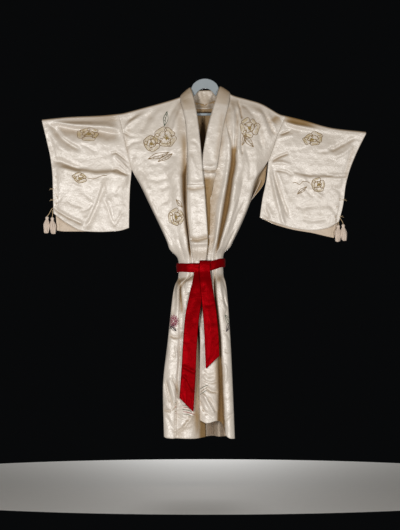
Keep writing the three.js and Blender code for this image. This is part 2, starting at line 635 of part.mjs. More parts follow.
// A sleeve's point at share f of its drop and share u of its width, on the front (-1) or back (1) layer.
function sleevePoint(half, facing, f, u) {
  const shape = SLEEVE[half];
  const hem = line(facing < 0 ? shape.frontHem : shape.backHem);
  const share = armholeShare(half);
  const sewn = f <= share + 1e-6;
  const t = Math.min(1, f / share);
  const seam = facing < 0 ? frontLine(half, 5, t) : backLine(half, 5, t);
  const [sx, sz] = sewn ? [seam.x, seam.z] : line(shape.inner)((f - share) / (1 - share));
  const [ox] = line(shape.outer)(f);
  const [tx, tz] = sleeveTop(half)(u);
  const [hx, hz] = hem(u);
  const straight = mix(shape.top[0][0], shape.top.at(-1)[0], u);
  const low = mix(shape.inner.at(-1)[0], hem(1)[0], u);
  const corner = hem(1)[0] - line(shape.outer)(1)[0];
  const x = mix(sx, ox, u) + mix(tx - straight, hx - low, f) + u * f * corner;
  const hung = mix(tz - SHOULDER_ROUND, hz, f);
  const atSeam = mix(shape.top[0][1] - SHOULDER_ROUND, hem(0)[1], f);
  const z = hung + (sewn ? (seam.z - atSeam) * (1 - u) ** 3 : 0);
  const swell = Math.sin(Math.PI * Math.min(1, SLEEVE_SWELL.from + u * SLEEVE_SWELL.span)) ** 0.5;
  const full = facing < 0 ? SLEEVE_DEPTH.front : SLEEVE_DEPTH.back;
  const hang = mix(SHOULDER_ROUND, mix(SLEEVE_DEPTH.outer, full, swell), soft(f / SLEEVE_SWELL.top));
  const edge = soft(u / SLEEVE_SWELL.seam);
  let y = facing * mix(sewn ? Math.abs(seam.y) : SLEEVE_DEPTH.inner, hang, edge);
  if (facing < 0) y -= edge * foldForward(SLEEVE_FOLDS[half], x, z) * soft(f / SLEEVE_SWELL.folds);
  return new THREE.Vector3(x, y, z);
}

// The point of the sleeve's first column beside a body section's end, or the cloth carried on below it.
function sleeveBeside(half, facing, t, row) {
  if (t > 1) return beyond(row.at(-1), row.at(-2));
  return sleevePoint(half, facing, t * armholeShare(half), 1 / SLEEVE_COLUMNS);
}

// One sleeve: a length folded over its top, its layers free along the cuff, the hem and the inner edge.
function sleeve(half) {
  const share = armholeShare(half);
  const shares = Array.from({ length: SLEEVE_COLUMNS + 1 }, (_, c) => c / SLEEVE_COLUMNS);
  const layer = (facing) => {
    const sewn = DROP.map((t) => [t * share, t]);
    const free = SLEEVE_BELOW.map((b) => [mix(share, 1, b), 0]);
    return [...sewn, ...free].map(([f, t]) => {
      const row = shares.map((u) => sleevePoint(half, facing, f, u));
      const body = (i) => (facing < 0 ? frontLine(half, i, t) : backLine(half, i, t));
      return [t > 0 ? body(5).lerp(body(4), 0.3) : beyond(row[0], row[1]), ...row];
    });
  };
  const over = (turn, facing) => {
    const row = shares.map((u) => overTop(sleeveTop(half)(u), turn, facing));
    return [overTop(HALF[half].shoulder[4], turn, facing), ...row];
  };
  const rows = [
    ...layer(-1).reverse(),
    ...TURN.map((a) => over(a, -1)).reverse(),
    over(0, 1),
    ...TURN.map((a) => over(a, 1)),
    ...layer(1),
  ];
  return wall(rows, CLOTH, { from: 1 });
}

const SASH_AROUND = 48; // columns round the loop
const SASH_CROWN = 0.02; // how much fuller the band's middle is than its edges

// The sash around the waist: a loop, its middle rising to the left half.
function sashLoop() {
  const rows = [1, 0.5, 0, -0.5, -1].map((v) =>
    Array.from({ length: SASH_AROUND + 1 }, (_, c) => {
      const a = ((c % SASH_AROUND) / SASH_AROUND) * 2 * Math.PI;
      const x = SASH.centreX + SASH.halfWide * Math.cos(a);
      const full = 1 + SASH_CROWN * (1 - v * v);
      return new THREE.Vector3(
        SASH.centreX + (x - SASH.centreX) * full,
        SASH.halfDeep * Math.sin(a) * full,
        sashZ(x) + (v * SASH.width) / 2,
      );
    }),
  );
  return wall(rows, SASH.wall, { ring: true });
}

// A tail of the sash: a strip down its path, its end cut on the slant.
function sashTail({ path, wide, cut }) {
  const middle = line(path);
  const width = line(wide.map((w) => [w]));
  const rows = Array.from({ length: TAIL.steps + 1 }, (_, r) => {
    const s = r / TAIL.steps;
    const [x, y, z] = middle(s);
    const slanted = soft((s - TAIL.slantFrom) / (1 - TAIL.slantFrom));
    return [-1, -1 / 3, 1 / 3, 1].map((v) => {
      const up = slanted * mix(cut[0], cut[1], (v + 1) / 2);
      return new THREE.Vector3(x + (v * width(s)[0]) / 2, y - TAIL.bow * (1 - v * v), z + up);
    });
  });
  return wall(rows, TAIL.wall);
}

// The knot: a rounded wrap over the loop, from which both tails hang.
function sashKnot() {
  const shape = new THREE.Shape();
  shape.moveTo(-22, -25);
  shape.bezierCurveTo(-26, -12, -26, 8, -23, 18);
  shape.bezierCurveTo(-10, 20, 6, 24, 17, 29);
  shape.bezierCurveTo(22, 12, 22, -8, 21, -25);
  shape.bezierCurveTo(8, -28, -10, -28, -22, -25);
  const knot = new THREE.ExtrudeGeometry(shape, {
    depth: KNOT.depth, bevelEnabled: true, bevelThickness: KNOT.bevelDeep, bevelSize: KNOT.bevel,
    bevelOffset: -KNOT.bevel, bevelSegments: 2, curveSegments: 5,
  });
  knot.rotateX(Math.PI / 2);
  return facingOut(knot);
}

// The hanger's arms: one plate, an arch at the neck and an arm to each shoulder.
function hangerArms() {
  const { archRadius, archHalf, archInner, innerHalf, bandDepth } = HANGER;
  const arc = (radius, half, count, z) => Array.from({ length: count + 1 }, (_, i) => {
    const x = -half + (2 * half * i) / count;
    return [x, z - radius + Math.sqrt(radius * radius - x * x)];
  });
  const crown = arc(archRadius, archHalf, 8, 0);
  const inner = arc(archInner, innerHalf, 6, -bandDepth).reverse();
  const mirrored = HANGER_ARM.map(([x, z]) => [-x, z]).reverse();
  const outline = [...crown, ...HANGER_ARM, ...inner, ...mirrored].map(([x, z]) => new THREE.Vector2(x, z));
  return plate(new THREE.Shape(outline), HANGER.thick, HANGER.bevel);
}

// The hanger's cross bar, between the arms' lower ends.
function hangerBar() {
  const { z, high, thick, half, bevel } = HANGER_BAR;
  const shape = new THREE.Shape();
  shape.moveTo(-half, z + high / 2);
  shape.lineTo(half, z + high / 2);
  shape.absarc(half, z, high / 2, Math.PI / 2, -Math.PI / 2, true);
  shape.lineTo(-half, z - high / 2);
  shape.absarc(-half, z, high / 2, -Math.PI / 2, Math.PI / 2, true);
  return plate(shape, thick, bevel);
}

// A shape drawn in X and Z as a plate centred on the middle plane, its edges rounded.
function plate(shape, thick, bevel) {
  const made = new THREE.ExtrudeGeometry(shape, {
    depth: thick - 2 * bevel, bevelEnabled: true, bevelThickness: bevel, bevelSize: bevel,
    bevelOffset: -bevel, bevelSegments: 2, curveSegments: 4,
  });
  made.translate(0, 0, -(thick - 2 * bevel) / 2);
  made.rotateX(Math.PI / 2);
  return facingOut(made);
}

// The geometry as a solid that can be joined to others.
function solid(geometry) {
  const merged = facingOut(geometry);
  return new wasm.Manifold(new wasm.Mesh({
    numProp: 3,
    vertProperties: merged.getAttribute("position").array,
    triVerts: new Uint32Array(merged.index.array),
  }));
}

function geometryOf(manifold) {
  const made = manifold.getMesh();
  const geometry = new THREE.BufferGeometry();
  geometry.setAttribute("position", new THREE.BufferAttribute(made.vertProperties, 3));
  geometry.setIndex(new THREE.BufferAttribute(made.triVerts, 1));
  return geometry;
}

// A tassel: a round head, its cord up to where it is tied, and locks rooted in the head.
function tassel(cord) {
  const { cordRadius, cordInHead, headRadius, headHigh, sides, locks } = TASSEL;
  const profile = TASSEL_HEAD.map(([r, z]) => new THREE.Vector2(r * headRadius, z * headHigh));
  const head = new THREE.LatheGeometry(profile, sides);
  head.rotateX(Math.PI / 2);
  const up = new THREE.Vector3(0, 1, 0);
  const string = new THREE.CylinderGeometry(cordRadius, cordRadius, cord.length() + cordInHead, sides);
  string.translate(0, (cord.length() - cordInHead) / 2, 0);
  string.applyQuaternion(new THREE.Quaternion().setFromUnitVectors(up, cord.clone().normalize()));
  let whole = solid(head).add(solid(string));
  for (let k = 0; k < locks; k++) whole = whole.add(solid(lock(k)));
  return geometryOf(whole);
}

// Lock k of a tassel: the last one hangs in the middle, and the others lean out round it.
function lock(k) {
  const { locks, lockRoot, lockRadius, lockSides, rootRadius } = TASSEL;
  const { inHead, headHigh, skirtRadius, skirtHigh, uneven } = TASSEL;
  const lean = k === locks - 1 ? 0 : 1;
  const turn = (k / (locks - 1)) * 2 * Math.PI;
  const long = skirtHigh * (1 - uneven * ((k * 5) % 3));
  const made = new THREE.CylinderGeometry(lockRoot, lockRadius, long, lockSides);
  made.rotateX(Math.PI / 2);
  made.translate(0, 0, -long / 2);
  const tilt = Math.atan2(skirtRadius - rootRadius - lockRadius, long) * lean;
  const level = new THREE.Vector3(-Math.sin(turn), Math.cos(turn), 0);
  made.applyMatrix4(new THREE.Matrix4().makeRotationAxis(level, -tilt));
  made.translate(lean * rootRadius * Math.cos(turn), lean * rootRadius * Math.sin(turn), inHead - headHigh);
  return made;
}

function cloth(colour, roughness = 0.42) {
  return new THREE.MeshStandardMaterial({ color: colour, roughness, metalness: 0 });
}

const kimono = new THREE.Group();
function place(name, geometry, material, position = [0, 0, 0]) {
  const mesh = new THREE.Mesh(geometry, material);
  mesh.name = name;
  mesh.position.set(...position);
  kimono.add(mesh);
  return mesh;
}

const satin = cloth(COLOUR.satin);
for (const half of ["right", "left"]) {
  place(`body_${half}`, bodyPanel(half), satin);
  place(`overlap_${half}`, overlapPanel(half), satin);
  place(`sleeve_${half}`, sleeve(half), satin);
}
const wholeCollar = { from: 0, to: COLLAR.length - 1, lift: 0, inset: 0, thick: COLLAR_WALL };
place("collar", collarBand(wholeCollar), satin);
place("over_collar", collarBand(OVER_COLLAR), satin);

const red = cloth(COLOUR.sash, 0.38);
place("sash_loop", sashLoop(), red);
place("sash_knot", sashKnot(), red, [0, -SASH.halfDeep - KNOT.forward, KNOT.z]);
place("sash_tail_right", sashTail(TAILS.right), red);
place("sash_tail_left", sashTail(TAILS.left), red);

const silk = cloth(COLOUR.tassel, 0.6);
for (const [name, { head, tied, lean }] of Object.entries(TASSELS)) {
  const turn = (-lean * Math.PI) / 180;
  const cord = new THREE.Vector3(...tied).sub(new THREE.Vector3(...head));
  cord.applyAxisAngle(new THREE.Vector3(0, 1, 0), -turn);
  place(name, tassel(cord), silk, head).rotation.y = turn;
}

const plastic = new THREE.MeshStandardMaterial({ color: COLOUR.hanger, roughness: 0.5, metalness: 0 });
place("hanger_arms", hangerArms(), plastic);
place("hanger_bar", hangerBar(), plastic);

export default kimono;
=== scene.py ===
# Looks of the cream satin kimono on its hanger.
# Tables are in millimetres in the shared frame: X to the viewer's right, Y from front to back, Z up.
# "right" and "left" are the wearer's, so the right half is at the viewer's left.
import math

import bmesh
import bpy
import numpy as np
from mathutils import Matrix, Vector
from mathutils.bvhtree import BVHTree


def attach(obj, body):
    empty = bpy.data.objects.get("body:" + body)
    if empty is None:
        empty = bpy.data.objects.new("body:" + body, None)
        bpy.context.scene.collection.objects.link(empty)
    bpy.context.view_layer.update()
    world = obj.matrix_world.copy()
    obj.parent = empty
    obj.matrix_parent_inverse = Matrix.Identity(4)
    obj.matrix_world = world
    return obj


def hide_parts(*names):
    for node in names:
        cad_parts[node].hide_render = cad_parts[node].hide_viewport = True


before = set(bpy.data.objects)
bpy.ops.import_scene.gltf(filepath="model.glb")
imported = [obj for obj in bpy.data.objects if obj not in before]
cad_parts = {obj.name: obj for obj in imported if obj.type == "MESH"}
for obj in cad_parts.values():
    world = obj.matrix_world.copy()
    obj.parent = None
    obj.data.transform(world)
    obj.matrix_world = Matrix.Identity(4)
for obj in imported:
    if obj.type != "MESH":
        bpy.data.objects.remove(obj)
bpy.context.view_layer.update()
MM = 0.001

# Walls, and the clearances between one layer and the next
CLOTH = 1.7
COLLAR_WALL = 2.2
OVER_COLLAR_WALL = 1.2
SEAM = 0.5
LAYER = 5  # from the collar back to the panel under it
TUCK = {"body": 3, "overlap": 7}  # how far each panel runs in under the collar's edge

# The fold over the shoulder: its radius, and the turns from its top at which it has a line
SHOULDER_ROUND = 8
TURNS = np.radians(np.arange(15, 91, 15))

# Grid of each piece: from one row to the next, and the cells between its fold lines
ROW = 5
PANEL_STEPS = [10, 14, 11, 11, 14]
OVERLAP_STEPS = [8, 8, 8]
SLEEVE_GRID = {"columns": 76, "sewn_rows": 46, "free_rows": 52, "first_row": 0.04}

# Layers face the front or the back along Y. SEEN_BEHIND mirrors a layer, as seen from behind.
FRONT_WAY, BACK_WAY = -1, 1
SEEN_BEHIND = np.array([1, -1, 1])

# Sash: "low_z" is its middle height on the right half, "high_z" on the left. The cloth stays "slack"
# inside its loop, and "hold" above and below its middle.
SASH = {
    "wall": 2.0, "width": 36, "half_wide": 95, "half_deep": 51, "centre": -17,
    "low_z": -757, "high_z": -737, "hold": 24, "slack": 4.2,
}

# Sections of a panel: where each lies along its length
LEVEL = {
    "shoulder": 0, "nape": 0.12, "yoke": 0.42, "chest": 0.72, "armpit": 1, "slit": 1.5, "rib": 2,
    "high": 3, "drawn": 3.5, "sash_top": 4, "sash_bottom": 5, "hip": 6, "lap": 6.5, "thigh": 7,
    "knee": 8, "hem": 9,
}
WAIST = 4.5  # level of the sash's middle
PANEL_TOP = 0.05  # level of the first row below the fold over the shoulder
SIDE = 5  # number of the last fold line, at the side

# Heights that both halves share, and rough heights of the sections, which only space the rows
HEIGHT = {"rib": -505, "high": -645, "hip": -845, "thigh": -1045, "knee": -1245}
ROUGH_HEIGHT = {
    "shoulder": -110, "armpit": -345, "slit": -420, "rib": -505, "high": -645, "sash_top": -723,
    "sash_bottom": -771, "hip": -845, "thigh": -1045, "knee": -1245, "hem": -1434,
}

# How the cloth takes its creases, in levels of a panel: "from" and "over" say where something starts
# and how soon it is full
GATHERED = {"from": 3.3, "over": 0.7}
SMOOTHED = {"steep": 1.4, "flat": 0.6}  # by the sash
FLAP_CREASED = {"from": 5.4, "over": 0.6}
TOP_CREASED = 0.15
LEVELLED = 0.3  # below the armhole
SIDE_HELD = 0.07  # share of the width that a side seam holds still

# The armhole seam pulls both layers in: how far, and how many columns wide
PINCH = {"right": 2.0, "left": 0.5, "sleeve": 2.0, "columns": 1.6, "over": 0.1, "sleeve_over": 0.03}

# Each half of the body: its armhole, and the shoulder line from the neck to the armhole
HALF = {
    "right": {
        "side": -1, "armpit": -364, "slit": -430,
        "shoulder": [(-92, -72), (-126, -84), (-180, -100), (-250, -119), (-325, -139), (-344, -142)],
    },
    "left": {
        "side": 1, "armpit": -325, "slit": -408,
        "shoulder": [(92, -58), (118, -70), (165, -83), (226, -102), (300, -144), (320, -149)],
    },
}

# Front of each half: one row a section, (x, y) for each fold line.
# Lines:           seam        ridge        inner        outer        side         edge
FRONT = {
    "right": {
        "yoke":        [(-76, -36), (-100, -38), (-156, -28), (-240, -22), (-312, -15), (-323, -12)],
        "armpit":      [(-80, -20), (-102, -52), (-168, -38), (-236, -30), (-282, -16), (-293, -10)],
        "slit":        [(-80, -22), (-101, -56), (-154, -41), (-210, -34), (-248, -28), (-257, -8)],
        "rib":         [(-79, -22), (-93, -58), (-140, -44), (-184, -37), (-214, -31), (-221, -6)],
        "high":        [(-66, -30), (-75, -57), (-104, -48), (-130, -38), (-150, -33), (-155, -4)],
        "drawn":       [(-62, -30), (-70, -50), (-92, -42), (-117, -32), (-135, -24), (-137, -2)],
        "sash_top":    [(-57, -35), (-64, -39), (-80, -32), (-95, -20), (-105, -6), (-104, 1)],
        "sash_bottom": [(-60, -34), (-66, -39), (-82, -31), (-96, -19), (-105, -6), (-104, 1)],
        "hip":         [(-98, -42), (-106, -54), (-113, -50), (-119, -40), (-124, -34), (-118, -1)],
        "thigh":       [(-100, -58), (-110, -63), (-122, -62), (-137, -59), (-147, -48), (-138, 2)],
        "knee":        [(-112, -60), (-122, -66), (-138, -66), (-154, -60), (-167, -48), (-150, 6)],
        "hem":         [(-116, -60), (-128, -66), (-142, -64), (-156, -58), (-163, -47), (-146, 8)],
    },
    "left": {
        "yoke":        [(97, -43), (128, -46), (148, -42), (196, -34), (278, -18), (289, -14)],
        "chest":       [(107, -44), (132, -51), (158, -43), (202, -37), (261, -18), (272, -12)],
        "armpit":      [(112, -28), (134, -53), (170, -44), (206, -38), (243, -18), (254, -10)],
        "slit":        [(100, -26), (120, -57), (148, -46), (172, -40), (196, -34), (204, -10)],
        "rib":         [(86, -26), (106, -59), (130, -48), (150, -42), (170, -36), (177, -6)],
        "high":        [(58, -33), (68, -59), (84, -50), (98, -42), (110, -36), (115, -4)],
        "drawn":       [(50, -34), (58, -50), (72, -42), (84, -33), (94, -24), (96, -2)],
        "sash_top":    [(42, -30), (49, -35), (58, -30), (65, -20), (72, -6), (71, 1)],
        "sash_bottom": [(40, -30), (48, -36), (58, -30), (66, -20), (72, -6), (71, 1)],
        "hip":         [(38, -32), (48, -58), (60, -56), (74, -46), (85, -38), (82, -1)],
        "thigh":       [(55, -36), (67, -60), (80, -62), (92, -56), (100, -45), (98, 2)],
        "knee":        [(62, -26), (77, -58), (90, -62), (102, -56), (110, -44), (104, 6)],
        "hem":         [(66, -20), (86, -56), (97, -62), (109, -56), (118, -44), (108, 8)],
    },
}
FRONT_HEM = {
    "right": [-1436, -1437, -1436, -1434, -1430, -1428],
    "left": [-1376, -1428, -1436, -1438, -1438, -1434],
}

# Back of both halves: centre line, side edge on each half, depth, height of its folds, depth at the edge
BACK_KEYS = ("centre", "right", "left", "depth", "fold", "edge_depth")
BACK = {
    "nape":        (-1, -340, 312, 28, 0, 10),
    "yoke":        (-1, -323, 289, 34, 2, 12),
    "armpit":      (-1, -293, 254, 42, 3, 12),
    "slit":        (-2, -257, 244, 46, 4, 9),
    "rib":         (-5, -221, 177, 52, 5, -6),
    "high":        (-11, -155, 115, 52, 7, -4),
    "drawn":       (-14, -137, 96, 48, 6, -2),
    "sash_top":    (-16, -104, 71, 41, 4, 1),
    "sash_bottom": (-17, -104, 71, 41, 4, 1),
    "hip":         (-17, -118, 82, 56, 9, -1),
    "thigh":       (-18, -138, 98, 70, 15, 2),
    "knee":        (-19, -150, 104, 78, 19, 6),
    "hem":         (-20, -146, 108, 82, 22, 8),
}
BACK_HEM = -1434
BACK_NECK = -103

# Front overlap panels. Lines: front edge, fold, middle. None is the edge under the collar. A panel
# leaves the collar at the level "point" and has its own shape from "full" on.
OVERLAP = {
    "right": {
        "armpit":      [None, (-72, -50), (-78, -34)],
        "slit":        [None, (-73, -49), (-79, -26)],
        "rib":         [None, (-74, -50), (-79, -22)],
        "high":        [None, (-61, -52), (-63, -34)],
        "sash_top":    [None, (-51, -39.5), (-54, -37.5)],
        "sash_bottom": [None, (-54, -40), (-57, -37.5)],
        "hip":         [(-24, -54), (-52, -54), (-90, -52)],
        "lap":         [(-44, -42), (-50, -53), (-76, -60)],
        "thigh":       [(-26, -34), (-33, -60), (-64, -70)],
        "knee":        [(-4, -28), (-34, -58), (-72, -72)],
        "hem":         [(4, -20), (-36, -58), (-76, -72)],
    },
    "left": {
        "armpit":      [None, (80, -50), (97, -54)],
        "slit":        [None, (68, -50), (84, -57)],
        "rib":         [None, (46, -50), (66, -60)],
        "high":        [None, (34, -49), (45, -58)],
        "sash_top":    [None, (19, -33), (30, -37)],
        "sash_bottom": [None, (19, -33), (30, -38)],
        "hip":         [(-36, -37), (20, -41), (32, -54)],
        "lap":         [(-30, -46), (4, -54), (36, -60)],
        "thigh":       [(-20, -56), (6, -66), (42, -62)],
        "knee":        [(-23, -54), (8, -68), (48, -60)],
        "hem":         [(-22, -50), (8, -64), (42, -56)],
    },
}
OVERLAP_HEM = {"right": [-1432, -1437, -1437], "left": [-1364, -1376, -1368]}
OVERLAP_START = {"right": {"point": 0.6, "full": 1.25}, "left": {"point": 0.12, "full": 0.8}}

# Collar stations from its right end over the nape to its left end: inner edge, then outer edge
COLLAR = [
    [(-20, -61, -857), (-86, -58, -857)],  # right end
    [(-12, -58, -815), (-78, -56, -815)],
    [(-2, -46.5, -782), (-52, -43.5, -782)],
    [(3, -46.5, -733), (-49, -43.5, -733)],
    [(11, -66, -645), (-59, -62, -645)],
    [(3, -68, -505), (-72, -62, -505)],
    [(-10, -62, -346), (-70, -58, -346)],
    [(-26, -46, -186), (-78, -40, -186)],
    [(-38, -31, -106), (-95, -25, -110)],
    [(-52, -12, -50), (-101, -12, -90)],
    [(-57, 0, -36), (-103, 0, -77)],  # over the right shoulder
    [(-56, 12, -42), (-99, 16, -88)],
    [(-40, 27, -47), (-62, 27, -116)],
    [(0, 31, -46), (0, 25, -122)],  # nape
    [(40, 27, -44), (62, 27, -112)],
    [(57, 12, -38), (99, 16, -72)],
    [(58, 0, -32), (104, 0, -62)],  # over the left shoulder
    [(53, -12, -46), (102, -12, -74)],
    [(36, -31, -104), (97, -25, -104)],
    [(13, -42, -186), (77, -40, -186)],
    [(-16, -50, -346), (52, -50, -346)],
    [(-40, -50, -505), (22, -50, -505)],
    [(-44, -48, -645), (17, -50, -645)],
    [(-28, -36, -733), (9, -36, -733)],
    [(-30, -36, -782), (9, -36, -782)],
    [(-38, -44, -815), (15, -45, -815)],
    [(-42, -48, -857), (20, -48, -857)],  # left end
]
# Over-collar: the stations that it runs between, how far it lies off the collar and in from its edges
OVER_COLLAR = {"start": 5.5, "end": 20.15, "lift": 2.9, "inset": 0.03}

# Sleeves: outer edge from its top corner down, inner edge and lower edges, each as (x, z)
SLEEVE = {
    "right": {
        "top": [(-344, -142), (-420, -149), (-536, -154), (-652, -165)],
        "outer": [(-652, -165), (-634, -226), (-618, -306), (-610, -380), (-608, -460), (-606, -540)],
        "inner": [(-293, -364), (-300, -420), (-303, -500), (-304, -598)],
        "front_hem": [(-304, -598), (-346, -610), (-420, -614), (-484, -611), (-550, -580), (-606, -540)],
        "back_hem": [(-304, -598), (-360, -606), (-430, -610), (-500, -612), (-560, -612), (-594, -608)],
    },
    "left": {
        "top": [(320, -149), (390, -166), (512, -199), (644, -214)],
        "outer": [(644, -214), (608, -306), (580, -386), (562, -414), (553, -480), (536, -572)],
        "inner": [(254, -325), (246, -406), (230, -500), (219, -556)],
        "front_hem": [(219, -556), (280, -577), (360, -600), (430, -608), (490, -598), (536, -572)],
        "back_hem": [(219, -556), (280, -584), (360, -606), (430, -618), (480, -630), (516, -638)],
    },
}

